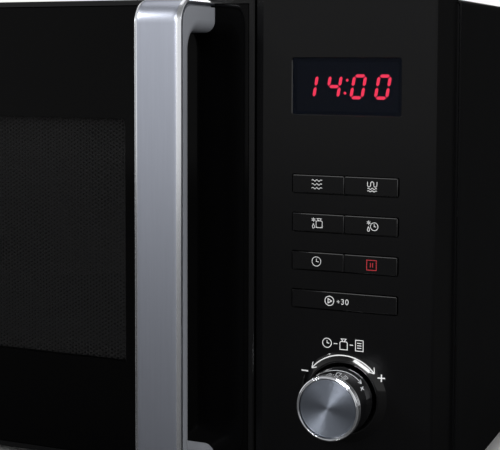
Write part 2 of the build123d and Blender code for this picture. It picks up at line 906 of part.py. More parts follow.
limb_y = (
    transformer_y[0] + lamination_width + coil_window,
    transformer_y[0] + 2 * lamination_width + coil_window,
)
with BuildPart() as transformer_windings:
    coil_levels = [transformer_z[0] + lamination_width, (transformer_z[0] + transformer_z[1]) / 2]
    coil_height = (transformer_height - 2 * lamination_width) / 2 - sheet
    for level in coil_levels:
        with BuildSketch(Plane.XY.offset(level + sheet / 2)):
            area(grow(transformer_x, coil_overhang), grow(limb_y, coil_window - sheet), corner=coil_overhang)
            area(grow(transformer_x, sheet_gap), grow(limb_y, sheet_gap), mode=Mode.SUBTRACT)
        extrude(amount=coil_height)
finish(transformer_windings, "transformer_windings")

capacitor_y = (transformer_y[1] + 3 * flange, transformer_y[1] + 3 * flange + capacitor_length)
with BuildPart() as capacitor:
    with BuildSketch(facing(capacitor_y[1])):
        with Locations((bay_middle, bay_floor + capacitor_height / 2)):
            SlotOverall(capacitor_width, capacitor_height)
    extrude(amount=capacitor_length)
    chamfer(capacitor.edges().group_by(Axis.Y)[0], length=1.0)
    with Locations((bay_middle, capacitor_y[0], bay_floor + capacitor_height / 2)):
        with GridLocations(capacitor_width / 2, 0, 2, 1):
            Cylinder(2.5, flange, rotation=(90, 0, 0))
finish(capacitor, "capacitor")

# Fan: a moulded duct on the rear panel, a shaded-pole motor on two struts and a six-bladed rotor.
duct_radius = fan_radius + fan_tip_gap
duct_depth = fan_depth + 2 * flange
duct_y = (rear_panel_inner - duct_depth, rear_panel_inner)
strut_y = (duct_y[0], duct_y[0] + 0.4 * flange)
rotor_y = (rear_panel_inner - flange / 2 - fan_depth, rear_panel_inner - flange / 2)

with BuildPart() as fan_shroud:
    with BuildSketch(facing(rear_panel_inner)):
        with Locations((fan_x, fan_z)):
            RectangleRounded(2 * duct_radius + 2 * duct_wall, 2 * duct_radius + 2 * duct_wall, flange / 2)
            Circle(duct_radius, mode=Mode.SUBTRACT)
    extrude(amount=fan_plate_thickness)
    with BuildSketch(facing(rear_panel_inner)):
        with Locations((fan_x, fan_z)):
            Circle(duct_radius + duct_wall)
            Circle(duct_radius, mode=Mode.SUBTRACT)
    extrude(amount=duct_depth)
    with BuildSketch(facing(strut_y[1])):
        with Locations((fan_x, fan_z)):
            Rectangle(2 * duct_radius + duct_wall, strut_width)
            Rectangle(strut_width, 2 * duct_radius + duct_wall)
            Circle(hub_radius + strut_width)
            Circle(2 * fan_shaft_radius, mode=Mode.SUBTRACT)
    extrude(amount=strut_y[1] - strut_y[0])
finish(fan_shroud, "fan_shroud")

with BuildPart() as fan_motor:
    with BuildSketch(facing(strut_y[0])):
        area(
            grow((fan_x, fan_x), stator_width / 2),
            grow((fan_z, fan_z), stator_height / 2),
            corner=3.0,
        )
    extrude(amount=stator_depth)
    with BuildSketch(facing(strut_y[0])):
        with Locations((fan_x, fan_z - stator_height / 4)):
            Rectangle(stator_width + flange, stator_height / 4)
    extrude(amount=stator_depth - 2.0)
    with Locations((fan_x, strut_y[0], fan_z)):
        Cylinder(
            fan_shaft_radius + running_fit,
            2 * stator_depth - 2 * flange,
            rotation=(90, 0, 0),
            mode=Mode.SUBTRACT,
        )
finish(fan_motor, "fan_motor")

blade_span = (hub_radius - 1.0, fan_radius)
with BuildPart() as fan_rotor:
    with BuildSketch(facing(rotor_y[1])):
        with Locations((fan_x, fan_z)):
            Circle(hub_radius)
    extrude(amount=fan_depth)
    for number in range(blade_count):
        turn = math.radians(360 / blade_count * number)
        outward = (math.cos(turn), 0, math.sin(turn))
        tilt = math.radians(blade_angle)
        across = (
            -math.sin(turn) * math.cos(tilt),
            math.sin(tilt),
            math.cos(turn) * math.cos(tilt),
        )
        blade_chord = fan_depth / math.sin(tilt) - 2 * blade_thickness
        root = (
            fan_x + outward[0] * blade_span[0],
            sum(rotor_y) / 2,
            fan_z + outward[2] * blade_span[0],
        )
        with BuildSketch(Plane(origin=root, x_dir=across, z_dir=outward)) as blade_root:
            SlotOverall(blade_chord * 0.7, blade_thickness)
        extrude(amount=blade_span[1] - blade_span[0])
    with BuildSketch(facing(rotor_y[0])):
        with Locations((fan_x, fan_z)):
            Circle(fan_shaft_radius)
    extrude(amount=rotor_y[0] - strut_y[0] + stator_depth / 2)
finish(fan_rotor, "fan_rotor")

with BuildPart() as lamp:
    with BuildSketch(Plane.YZ.offset(bay_left)):
        with Locations((lamp_y, lamp_z)):
            Rectangle(lamp_base_width, lamp_base_width)
    extrude(amount=lamp_base_thickness)
    with BuildSketch(Plane.YZ.offset(bay_left)):
        with Locations((lamp_y, lamp_z)):
            Circle(lamp_radius)
    extrude(amount=waveguide_depth, taper=lamp_taper)
    with BuildSketch(Plane.YZ.offset(bay_left)):
        with Locations((lamp_y, lamp_z)):
            Circle(lamp_radius - lamp_wall)
    extrude(amount=waveguide_depth - lamp_end, taper=lamp_taper, mode=Mode.SUBTRACT)
    with BuildSketch(Plane.YZ.offset(bay_left + waveguide_depth - lamp_end)):
        with Locations((lamp_y, lamp_z)):
            Circle(lamp_bulb_radius)
    extrude(amount=-lamp_bulb_length)
finish(lamp, "lamp")

filter_z = (fan_z + duct_radius + duct_wall + filter_margin, inner_top - filter_margin)
with BuildPart() as filter_board:
    filter_x = grow((fan_x, fan_x), 4 * flange)
    slab(filter_x, (rear_panel_inner - board_thickness, rear_panel_inner), filter_z)
    with Locations((fan_x - flange, rear_panel_inner - board_thickness, sum(filter_z) / 2)):
        Box(*choke_coil_size, align=(Align.CENTER, Align.MAX, Align.CENTER))
    with Locations((fan_x + 2 * flange, rear_panel_inner - board_thickness, sum(filter_z) / 2)):
        Cylinder(
            filter_can_radius,
            filter_can_length,
            rotation=(90, 0, 0),
            align=(Align.CENTER, Align.CENTER, Align.MIN),
        )
finish(filter_board, "filter_board")

# Latch bracket: a channel behind the front frame with a clear window for each hook, and a wall
# that carries the three door switches.
bracket_x = (hook_x - slot_half_width - bracket_wall, hook_x + slot_half_width + bracket_wall)
bracket_z = (hook_levels[0] - 4 * flange, hook_levels[1] + 4 * flange)
bracket_y = (cavity_front, cavity_front + bracket_depth)
switch_front = seam + hook_reach + switch_clearance
switch_y = (switch_front, switch_front + switch_height)
switch_levels = [hook_levels[0] - switch_offset, hook_levels[0] + switch_offset, hook_levels[1]]

with BuildPart() as latch_bracket:
    slab((bracket_x[0], bracket_x[0] + bracket_wall), bracket_y, bracket_z)
    with BuildSketch(facing(cavity_front + bracket_wall)):
        area(bracket_x, bracket_z)
        for level in hook_levels:
            area(
                (bracket_x[0] + bracket_wall, bracket_x[1] - bracket_wall / 2),
                (level - hook_height / 2 - hook_nose - hook_clearance,
                 level + hook_height / 2 + hook_lift + hook_clearance),
                mode=Mode.SUBTRACT,
            )
    extrude(amount=bracket_wall)
    for level in (bracket_z[0], sum(bracket_z) / 2, bracket_z[1] - bracket_wall):
        slab(bracket_x, bracket_y, (level, level + bracket_wall))
finish(latch_bracket, "latch_bracket")

with BuildPart() as door_switches:
    for level in switch_levels:
        switch_x = (bracket_x[0] + bracket_wall, bracket_x[0] + bracket_wall + switch_width)
        slab(switch_x, switch_y, grow((level, level), switch_body_half))
        plunger = (sum(switch_x) / 2, switch_y[0], level)
        with Locations(plunger):
            Cylinder(plunger_radius, plunger_length, rotation=(90, 0, 0))
finish(door_switches, "door_switches")

# ---------------------------------------------------------------- control panel

panel_x = (panel_left, right - panel_inset)
display_x = grow((panel_middle, panel_middle), display_width / 2)
display_z_span = grow((display_z, display_z), display_height / 2)
half_block = button_block_width / 2
half_split = button_split / 2

# Each button: name, its limits across the panel and its middle height. Its lip behind the panel is
# wider than the slot on the outer sides and leaves room between two neighbours.
button_places = []
lip_limits = {}
for row, name_pair in enumerate([("micro", "combi"), ("defrost_weight", "defrost_time"), ("clock", "stop")]):
    for side, button_name in zip((-1, 1), name_pair):
        limits = sorted((panel_middle + side * half_split, panel_middle + side * half_block))
        button_places.append((button_name, tuple(limits), button_rows[row]))
        lip_reach = (half_split + button_split, half_block + button_lip)
        lip_limits[button_name] = sorted(panel_middle + side * reach for reach in lip_reach)
start_limits = grow((panel_middle, panel_middle), half_block)
button_places.append(("start", start_limits, button_rows[3]))
lip_limits["start"] = grow(start_limits, button_lip)

panel_back_x = grow(panel_x, -panel_wall)
panel_back_z = grow(front_z, -panel_wall)
panel_inner = front + panel_wall
boss_places = [
    (x, z)
    for x in grow(panel_back_x, -boss_inset)
    for z in (panel_back_z[0] + boss_inset, panel_back_z[1] - boss_inset)
]
cup_radius = knob_base_radius + cup_gap

with BuildPart() as control_panel:
    with BuildSketch(facing(seam)):
        area(panel_x, front_z)
    extrude(amount=front_depth)
    front_edges = control_panel.faces().sort_by(Axis.Y)[0].edges()
    chamfer(front_edges.sort_by(Axis.X)[-1], length=panel_side_bevel)
    top_edge = control_panel.faces().sort_by(Axis.Y)[0].edges().sort_by(Axis.Z)[-1]
    low_edge = control_panel.faces().sort_by(Axis.Y)[0].edges().sort_by(Axis.Z)[0]
    chamfer([top_edge, low_edge], length=panel_crease_depth)
    left_edge = control_panel.faces().sort_by(Axis.Y)[0].edges().sort_by(Axis.X)[0]
    chamfer(left_edge, length=panel_crease_depth, length2=panel_crease_width, reference=(
        control_panel.faces().sort_by(Axis.X)[0]
    ))
    slab(panel_back_x, (panel_inner, seam), panel_back_z, mode=Mode.SUBTRACT)
    # Raised collar round the knob and the cup that the knob's skirt sinks into.
    with BuildSketch(Plane(origin=(panel_middle, 0, knob_z), x_dir=(1, 0, 0), z_dir=(0, 0, 1))):
        with BuildLine():
            Polyline(
                (0, front - collar_height),
                (cup_radius + collar_crown, front - collar_height),
                (cup_radius + collar_width, front),
                (cup_radius + collar_width, panel_inner - sheet),
                (cup_radius + cup_wall, panel_inner - sheet),
                (cup_radius + cup_wall, front + cup_depth + cup_wall),
                (0, front + cup_depth + cup_wall),
                close=True,
            )
        make_face()
    revolve(axis=Axis((panel_middle, 0, knob_z), (0, 1, 0)))
    with BuildSketch(facing(front + cup_depth)):
        with Locations((panel_middle, knob_z)):
            Circle(cup_radius)
    extrude(amount=cup_depth + collar_height, mode=Mode.SUBTRACT)
    with BuildSketch(facing(front + cup_depth + cup_wall)):
        with Locations((panel_middle, knob_z)):
            Circle(encoder_shaft_radius + shaft_hole_gap)
    extrude(amount=cup_wall, mode=Mode.SUBTRACT)
    # Display opening with a ledge behind the lens.
    with BuildSketch(facing(panel_inner)):
        area(grow(display_x, -lens_ledge), grow(display_z_span, -lens_ledge), corner=display_corner / 2)
    extrude(amount=panel_wall, mode=Mode.SUBTRACT)
    with BuildSketch(facing(front + lens_recess + lens_thickness)):
        area(display_x, display_z_span, corner=display_corner)
    extrude(amount=lens_recess + lens_thickness, mode=Mode.SUBTRACT)
    # One opening for each row of buttons.
    with BuildSketch(facing(panel_inner)):
        for level in button_rows:
            with Locations((panel_middle, level)):
                RectangleRounded(
                    button_block_width + 2 * button_gap,
                    button_height + 2 * button_gap,
                    button_edge + button_gap,
                )
    extrude(amount=panel_wall, mode=Mode.SUBTRACT)
    with BuildSketch(facing(board_front)):
        with Locations(boss_places):
            Circle(boss_radius)
            Circle(screw_radius, mode=Mode.SUBTRACT)
    extrude(amount=board_front - panel_inner)
finish(control_panel, "control_panel")

with BuildPart() as display_lens:
    with BuildSketch(facing(front + lens_recess + lens_thickness)):
        area(grow(display_x, -fit_gap), grow(display_z_span, -fit_gap), corner=display_corner - fit_gap)
    extrude(amount=lens_thickness)
finish(display_lens, "display_lens")

module_y = (panel_inner, panel_inner + module_depth)
module_x = grow(display_x, -lens_ledge / 2)
module_z = grow(display_z_span, -lens_ledge / 2)
with BuildPart() as display_module:
    slab(module_x, module_y, module_z)
    for level in (module_z[0] + header_thickness, module_z[1] - header_thickness):
        slab(
            grow(module_x, -flange / 2),
            (module_y[1], board_front),
            grow((level, level), header_thickness / 2),
        )
finish(display_module, "display_module")

cap_front = front - button_proud
lip_front = panel_inner + fit_gap
stem_end = board_front - tact_height - button_travel - press_gap

for button_name, limits, level in button_places:
    with BuildPart() as button:
        with BuildSketch(facing(lip_front)):
            area(limits, grow((level, level), button_height / 2), corner=button_edge)
        extrude(amount=lip_front - cap_front)
        front_edges = button.faces().sort_by(Axis.Y)[0].edges()
        chamfer(front_edges, length=button_edge / 2)
        slab(
            lip_limits[button_name],
            (lip_front, lip_front + lip_thickness),
            grow((level, level), button_height / 2 + button_lip),
        )
        with BuildSketch(facing(stem_end)):
            with Locations((sum(limits) / 2, level)):
                Circle(stem_radius)
        extrude(amount=stem_end - lip_front)
    finish(button, f"button_{button_name}")

board_x = grow(panel_back_x, -board_margin)
board_z = grow(panel_back_z, -board_margin)
encoder_y = (board_front - encoder_depth, board_front)

with BuildPart() as control_board:
    with BuildSketch(facing(board_front + board_thickness)):
        area(board_x, board_z, corner=2.0)
        with Locations((panel_middle, knob_z)):
            Circle(encoder_shaft_radius + shaft_hole_gap, mode=Mode.SUBTRACT)
    extrude(amount=board_thickness)
    for button_name, limits, level in button_places:
        middle = sum(limits) / 2
        slab(
            grow((middle, middle), tact_width / 2),
            (board_front - tact_height, board_front),
            grow((level, level), tact_width / 2),
        )
    relay_z = (board_z[0] + flange, board_z[0] + 3 * flange)
    relay_y = (board_front + board_thickness, board_front + board_thickness + relay_height)
    for start in (board_x[0] + flange, panel_middle + flange):
        slab((start, start + 2 * flange), relay_y, relay_z)
finish(control_board, "control_board")

with BuildPart() as encoder:
    with BuildSketch(facing(encoder_y[1])):
        with Locations((panel_middle, knob_z)):
            RectangleRounded(encoder_width, encoder_width, encoder_corner)
    extrude(amount=encoder_y[1] - encoder_y[0])
    with BuildSketch(facing(encoder_y[0])):
        with Locations((panel_middle, knob_z)):
            Circle(encoder_shaft_radius + encoder_neck_wall)
    extrude(amount=encoder_neck)
    with BuildSketch(facing(encoder_y[1])):
        with Locations((panel_middle, knob_z)):
            Circle(encoder_shaft_radius + running_fit)
    extrude(amount=encoder_depth + encoder_neck, mode=Mode.SUBTRACT)
finish(encoder, "encoder")

# Knob: a hollow turned body with a bevelled rim, a brushed disc let into its face and a shaft.
knob_front = front - knob_proud
knob_back = front + knob_sink
stem_back = knob_back - encoder_end_gap
disc_back = knob_front + knob_face_recess + face_disc_thickness
knob_hollow = disc_back + face_disc_thickness + knob_skin
stem_wall_radius = encoder_shaft_radius + 2 * knob_skin

with BuildPart() as knob_body:
    with BuildSketch(Plane(origin=(panel_middle, 0, knob_z), x_dir=(1, 0, 0), z_dir=(0, 0, 1))):
        with BuildLine():
            Polyline(
                (0, disc_back),
                (knob_face_radius + disc_gap, disc_back),
                (knob_face_radius + disc_gap, knob_front),
                (rim_groove_radius - rim_groove_width / 2, knob_front),
                (rim_groove_radius, knob_front + rim_groove_depth),
                (rim_groove_radius + rim_groove_width / 2, knob_front),
                (knob_front_radius - knob_bevel, knob_front),
                (knob_front_radius, knob_front + knob_bevel),
                (knob_base_radius, knob_back),
                (knob_base_radius - knob_skin, knob_back),
                (knob_front_radius - knob_skin, knob_hollow),
                (stem_wall_radius, knob_hollow),
                (stem_wall_radius, stem_back),
                (0, stem_back),
                close=True,
            )
        make_face()
    revolve(axis=Axis((panel_middle, 0, knob_z), (0, 1, 0)))
    with BuildSketch(facing(stem_back)):
        with Locations((panel_middle, knob_z)):
            Circle(encoder_shaft_radius + running_fit)
    extrude(amount=socket_depth, mode=Mode.SUBTRACT)
finish(knob_body, "knob_body")

with BuildPart() as knob_face:
    with BuildSketch(facing(disc_back)):
        with Locations((panel_middle, knob_z)):
            Circle(knob_face_radius)
    extrude(amount=face_disc_thickness)
    chamfer(knob_face.edges().group_by(Axis.Y)[0], length=disc_edge)
finish(knob_face, "knob_face")

with BuildPart() as encoder_shaft:
    with BuildSketch(facing(encoder_y[1] - encoder_end_gap)):
        with Locations((panel_middle, knob_z)):
            Circle(encoder_shaft_radius)
    extrude(amount=encoder_y[1] - encoder_end_gap - stem_back + socket_depth)
finish(encoder_shaft, "encoder_shaft")

# ---------------------------------------------------------------- door

glass_x = grow(door_x, -glass_rim)
glass_z = grow(front_z, -glass_rim)
inner_x = grow(door_x, -door_wall)
inner_z = grow(front_z, -door_wall)
tunnel_x = grow(window_x, tunnel_margin)
tunnel_z = grow(window_z, tunnel_margin)
choke_x = grow(cavity_x, choke_lap)
choke_z = grow(cavity_z, choke_lap)
seal_x = grow(choke_x, -choke_trough)
seal_z = grow(choke_z, -choke_trough)
handle_middle_x = (handle_left + handle_right) / 2
handle_screw_levels = [
    handle_bottom + return_height / 2 + groove_width,
    handle_top - return_height / 2 - groove_width,
]
handle_screw_places = [(handle_middle_x, z) for z in handle_screw_levels]
hinge_column_x = inner_x[0] + 2 * hinge_inset + bracket_thickness

with BuildPart() as door_frame:
    with BuildSketch(facing(door_back)):
        area(door_x, front_z)
    extrude(amount=door_back - front)
    fillet(door_frame.edges().filter_by(Axis.Z).sort_by(Axis.X)[:2].sort_by(Axis.Y)[-1], radius=hinge_inset)
    chamfer(door_frame.faces().sort_by(Axis.Y)[0].edges(), length=panel_crease_depth)
    slab(glass_x, (front, glass_back), glass_z, mode=Mode.SUBTRACT)
    with BuildSketch(facing(screen_back)):
        area(grow(window_x, screen_lap + fit_gap), grow(window_z, screen_lap + fit_gap), corner=3.0)
    extrude(amount=screen_thickness, mode=Mode.SUBTRACT)
    with BuildSketch(facing(web_back)):
        area(window_x, window_z, corner=2.0)
        with Locations(handle_screw_places):
            Circle(handle_screw_radius + screw_hole_gap)
    extrude(amount=web_back - front, mode=Mode.SUBTRACT)
    # Hollow behind the web, leaving the side walls and a solid column at each hinge pin. Beyond the
    # hinge line it is rounded about that line, so the wall there keeps its thickness.
    with BuildSketch(facing(door_back)):
        area((hinge_column_x, inner_x[1]), inner_z)
        area((hinge_x, hinge_column_x), choke_z)
    extrude(amount=door_back - web_back, mode=Mode.SUBTRACT)
    with BuildSketch(Plane.XY.offset(choke_z[0])):
        area((inner_x[0], hinge_x), (web_back, hinge_y))
        with Locations((hinge_x, hinge_y)):
            Circle(hinge_inset - door_wall)
    extrude(amount=choke_z[1] - choke_z[0], mode=Mode.SUBTRACT)
    for level in bracket_levels:
        slab(
            (left, hinge_x + bracket_half_width + pocket_clearance),
            (hinge_y - hinge_inset, door_back),
            grow((level, level), bracket_thickness / 2 + pocket_clearance),
            mode=Mode.SUBTRACT,
        )
        with Locations((hinge_x, hinge_y, level)):
            Cylinder(
                hinge_pin_radius + running_fit,
                bracket_thickness + 2 * hinge_pin_reach + 2 * fit_gap,
                mode=Mode.SUBTRACT,
            )
finish(door_frame, "door_frame")

with BuildPart() as door_glass:
    with BuildSketch(facing(glass_back)):
        area(grow(glass_x, -fit_gap), grow(glass_z, -fit_gap), corner=1.0)
        with Locations(handle_screw_places):
            Circle(handle_screw_radius + screw_hole_gap, mode=Mode.SUBTRACT)
    extrude(amount=glass_thickness)
    chamfer(door_glass.faces().sort_by(Axis.Y)[0].outer_wire().edges(), length=glass_edge)
finish(door_glass, "door_glass")

with BuildPart() as door_screen:
    with BuildSketch(facing(screen_back)):
        area(grow(window_x, screen_lap), grow(window_z, screen_lap), corner=3.0)
    extrude(amount=screen_thickness)
finish(door_screen, "door_screen")

# Choke frame: a folded tray round the window whose inner fold is cut into fingers.
choke_front = web_back
metal_back = door_back - sheet / 2

with BuildPart() as choke_frame:
    with BuildSketch(facing(choke_front + sheet)):
        area(choke_x, choke_z, corner=2.0)
        area(window_x, window_z, mode=Mode.SUBTRACT)
    extrude(amount=sheet)
    with BuildSketch(facing(metal_back - 2 * sheet)):
        area(choke_x, choke_z, corner=2.0)
        area(grow(choke_x, -sheet), grow(choke_z, -sheet), corner=2.0 - sheet, mode=Mode.SUBTRACT)
        area(tunnel_x, tunnel_z)
        area(grow(tunnel_x, -sheet), grow(tunnel_z, -sheet), mode=Mode.SUBTRACT)
    extrude(amount=metal_back - 2 * sheet - choke_front)
    with BuildSketch(facing(metal_back)):
        area(seal_x, seal_z, corner=2.0)
        area(grow(tunnel_x, -sheet), grow(tunnel_z, -sheet), mode=Mode.SUBTRACT)
    extrude(amount=sheet)
    with BuildSketch(facing(metal_back)):
        area(tunnel_x, tunnel_z)
        area(grow(tunnel_x, -sheet), grow(tunnel_z, -sheet), mode=Mode.SUBTRACT)
    extrude(amount=4 * sheet)
    with BuildSketch(facing(metal_back)):
        area(seal_x, seal_z, corner=2.0)
        area(grow(seal_x, -sheet), grow(seal_z, -sheet), corner=2.0 - sheet, mode=Mode.SUBTRACT)
        finger_columns = int((seal_x[1] - seal_x[0]) / finger_pitch)
        finger_rows = int((seal_z[1] - seal_z[0]) / finger_pitch)
    extrude(amount=choke_depth)
    with BuildSketch(facing(metal_back - 2 * sheet)):
        with Locations((sum(seal_x) / 2, sum(seal_z) / 2)):
            with GridLocations(finger_pitch, seal_z[1] - seal_z[0], finger_columns, 2):
                Rectangle(finger_slot, 4 * sheet)
            with GridLocations(seal_x[1] - seal_x[0], finger_pitch, 2, finger_rows):
                Rectangle(4 * sheet, finger_slot)
    extrude(amount=choke_depth, mode=Mode.SUBTRACT)
finish(choke_frame, "choke_frame")

# Inner cover: a moulded ring over the choke that starts at the hinge line, so that it swings clear of
# the front frame, cut back for the hinge columns and the hooks.
cover_x = (hinge_x + fit_gap, inner_x[1] - fit_gap)
with BuildPart() as inner_cover:
    with BuildSketch(facing(door_back)):
        area(cover_x, grow(inner_z, -fit_gap), corner=1.0)
        area(grow(seal_x, fit_gap), grow(seal_z, fit_gap), corner=2.0 + fit_gap, mode=Mode.SUBTRACT)
        for column_z in ((bottom, choke_z[0] + fit_gap), (choke_z[1] - fit_gap, top)):
            area((left, hinge_column_x + fit_gap), column_z, mode=Mode.SUBTRACT)
        for level in hook_levels:
            area(
                grow((hook_x, hook_x), hook_width / 2 + sheet),
                (level - hook_height / 2 - hook_nose - sheet, level + hook_height / 2 + hook_lift + sheet),
                mode=Mode.SUBTRACT,
            )
    extrude(amount=cover_thickness)
finish(inner_cover, "inner_cover")

with BuildPart() as inner_pane:
    with BuildSketch(facing(metal_back - sheet / 4)):
        area(grow(tunnel_x, -sheet - fit_gap), grow(tunnel_z, -sheet - fit_gap), corner=1.0)
    extrude(amount=pane_thickness)
finish(inner_pane, "inner_pane")

# Latch: two hooks on one carrier that lifts against a spring.
carrier_y = (door_back - cover_thickness - 2 * sheet - carrier_depth, door_back - cover_thickness - 2 * sheet)
hook_end = seam + hook_reach
carrier_z = (hook_levels[0] - flange, hook_levels[1] + flange)
with BuildPart() as latch_hooks:
    slab(grow((hook_x, hook_x), hook_width / 2), carrier_y, carrier_z)
    with BuildSketch(Plane.YZ.offset(hook_x - hook_width / 2)):
        for level in hook_levels:
            with BuildLine():
                Polyline(
                    (carrier_y[0], level + hook_height / 2),
                    (hook_end, level + hook_height / 2),
                    (hook_end, level - hook_height / 2),
                    (hook_end - hook_nose, level - hook_height / 2 - hook_nose),
                    (hook_end - 2 * hook_nose, level - hook_height / 2 - hook_nose),
                    (hook_end - 2 * hook_nose, level - hook_height / 2),
                    (carrier_y[0], level - hook_height / 2),
                    close=True,
                )
            make_face()
    extrude(amount=hook_width)
finish(latch_hooks, "latch_hooks")

# Handle: a bent flat strap over a moulded liner, held by two screws through the door.
handle_z = (handle_bottom, handle_top)


def bar_side(inset, bend):
    """Side face of the bar from the door outwards, set in from its outer skin."""
    with BuildLine() as outline:
        Polyline(
            (front, handle_z[0] + inset),
            (handle_front + inset + bend, handle_z[0] + inset),
        )
        RadiusArc(
            (handle_front + inset + bend, handle_z[0] + inset),
            (handle_front + inset, handle_z[0] + inset + bend),
            bend,
        )
        Line(
            (handle_front + inset, handle_z[0] + inset + bend),
            (handle_front + inset, handle_z[1] - inset - bend),
        )
        RadiusArc(
            (handle_front + inset, handle_z[1] - inset - bend),
            (handle_front + inset + bend, handle_z[1] - inset),
            bend,
        )
        Polyline(
            (handle_front + inset + bend, handle_z[1] - inset),
            (front, handle_z[1] - inset),
            (front, handle_z[0] + inset),
        )
    make_face(outline.edges())


with BuildPart() as handle_strap:
    with BuildSketch(Plane.YZ.offset(handle_left)):
        bar_side(0, strap_bend)
    extrude(amount=handle_width)
    outer_edges = handle_strap.edges().filter_by(GeomType.LINE).filter_by(Axis.Z)
    chamfer(outer_edges.sort_by(Axis.Y)[:2], length=strap_chamfer)
    with BuildSketch(Plane.YZ.offset(handle_left)):
        bar_side(strap_thickness, strap_bend - strap_thickness)
    extrude(amount=handle_width, mode=Mode.SUBTRACT)
finish(handle_strap, "handle_strap")

liner_inset = strap_thickness + groove_width
opening_y = (handle_front + bar_thickness, front)
opening_z = (handle_z[0] + return_height, handle_z[1] - return_height)
with BuildPart() as handle_liner:
    with BuildSketch(Plane.YZ.offset(handle_left)):
        bar_side(liner_inset, strap_bend - liner_inset)
    extrude(amount=handle_width)
    with BuildSketch(Plane.YZ.offset(handle_left + groove_depth)):
        bar_side(strap_thickness + sheet_gap / 2, strap_bend - strap_thickness)
    extrude(amount=handle_width - 2 * groove_depth)
    with BuildSketch(Plane.YZ.offset(handle_left)) as finger_space:
        area((opening_y[0], opening_y[1] + flange), opening_z)
        fillet(finger_space.vertices().group_by(Axis.X)[0], radius=finger_fillet)
    extrude(amount=handle_width, mode=Mode.SUBTRACT)
    inner_edges = handle_liner.edges().filter_by_position(
        Axis.Y, opening_y[0] - sheet_gap, opening_y[1] - sheet_gap
    ).filter_by_position(Axis.Z, opening_z[0] - sheet_gap, opening_z[1] + sheet_gap)
    fillet(inner_edges.group_by(Axis.X)[0] + inner_edges.group_by(Axis.X)[-1], radius=grip_rounding)
    for level in handle_screw_levels:
        with Locations((handle_middle_x, front, level)):
            Cylinder(
                handle_screw_radius,
                2 * handle_screw_hole,
                rotation=(90, 0, 0),
                mode=Mode.SUBTRACT,
            )
finish(handle_liner, "handle_liner")

with BuildPart() as handle_screws:
    with Locations([(x, web_back, z) for x, z in handle_screw_places]):
        Cylinder(
            handle_screw_head,
            screw_head_height,
            rotation=(-90, 0, 0),
            align=(Align.CENTER, Align.CENTER, Align.MIN),
        )
        Cylinder(
            handle_screw_radius,
            web_back - front + handle_screw_bite,
            rotation=(90, 0, 0),
            align=(Align.CENTER, Align.CENTER, Align.MIN),
        )
finish(handle_screws, "handle_screws")
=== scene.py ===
"""Finishes, printed marks, fine metalwork, light and camera for a countertop microwave oven.

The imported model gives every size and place. Each class below dresses one sub-assembly: it builds the
pieces that need a finer surface than the solid has, and gives every solid its finish.
"""

import logging
import math
from collections.abc import Callable, Mapping, Sequence
from dataclasses import dataclass, field
from enum import Enum
from typing import ClassVar

import bmesh
import bpy
import numpy as np
from mathutils import Matrix, Vector


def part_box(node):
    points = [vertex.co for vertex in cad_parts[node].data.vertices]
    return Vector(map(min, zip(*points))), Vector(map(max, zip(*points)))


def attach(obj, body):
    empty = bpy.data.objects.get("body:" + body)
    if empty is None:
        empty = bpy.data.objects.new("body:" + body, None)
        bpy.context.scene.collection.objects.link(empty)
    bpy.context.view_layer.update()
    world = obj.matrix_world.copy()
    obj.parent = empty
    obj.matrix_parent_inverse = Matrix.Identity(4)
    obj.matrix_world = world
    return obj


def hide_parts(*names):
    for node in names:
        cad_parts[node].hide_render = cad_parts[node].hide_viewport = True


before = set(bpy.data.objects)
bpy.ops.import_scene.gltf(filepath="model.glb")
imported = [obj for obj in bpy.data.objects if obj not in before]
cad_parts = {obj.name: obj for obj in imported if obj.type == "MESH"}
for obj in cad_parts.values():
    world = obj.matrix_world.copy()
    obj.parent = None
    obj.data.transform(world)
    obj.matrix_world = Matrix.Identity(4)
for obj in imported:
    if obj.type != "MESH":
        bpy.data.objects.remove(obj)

MM = 0.001
LOG = logging.getLogger("microwave oven")

Colour = tuple[float, float, float]
Operand = "Value | float"


# ---------------------------------------------------------------- shader maths


class Value:
    """A shader socket that can stand in a Python sum: each operation adds one Math node."""

    def __init__(self, graph: "Graph", socket: bpy.types.NodeSocket) -> None:
        """Keep the socket and the graph that it belongs to."""
        self.graph = graph
        self.socket = socket

    def _math(self, operation: str, first: object, second: object = 0.0) -> "Value":
        """Add one Math node to the graph and return its result."""
        return self.graph.add("ShaderNodeMath", {"operation": operation}, {0: first, 1: second})

    def __add__(self, other: Operand) -> "Value":
        """Sum."""
        return self._math("ADD", self, other)

    def __radd__(self, other: Operand) -> "Value":
        """Sum with the number first."""
        return self._math("ADD", other, self)

    def __sub__(self, other: Operand) -> "Value":
        """Difference."""
        return self._math("SUBTRACT", self, other)

    def __rsub__(self, other: Operand) -> "Value":
        """Difference with the number first."""
        return self._math("SUBTRACT", other, self)

    def __mul__(self, other: Operand) -> "Value":
        """Product."""
        return self._math("MULTIPLY", self, other)

    def __rmul__(self, other: Operand) -> "Value":
        """Product with the number first."""
        return self._math("MULTIPLY", other, self)

    def __truediv__(self, other: Operand) -> "Value":
        """Quotient."""
        return self._math("DIVIDE", self, other)

    def power(self, exponent: float) -> "Value":
        """This value raised to a power."""
        return self._math("POWER", self, exponent)

    def magnitude(self) -> "Value":
        """This value without its sign."""
        return self._math("ABSOLUTE", self)

    def sine(self) -> "Value":
        """The sine of this value in radians."""
        return self._math("SINE", self)

    def above(self, edge: float, softness: float) -> "Value":
        """A smooth step.

        Args:
            edge: Where the step is half way.
            softness: Half the width of the step.

        Returns:
            0 below the edge, 1 above it.
        """
        settings = {"interpolation_type": "SMOOTHSTEP", "clamp": True}
        inputs = {"Value": self, "From Min": edge - softness, "From Max": edge + softness}
        return self.graph.add("ShaderNodeMapRange", settings, inputs)


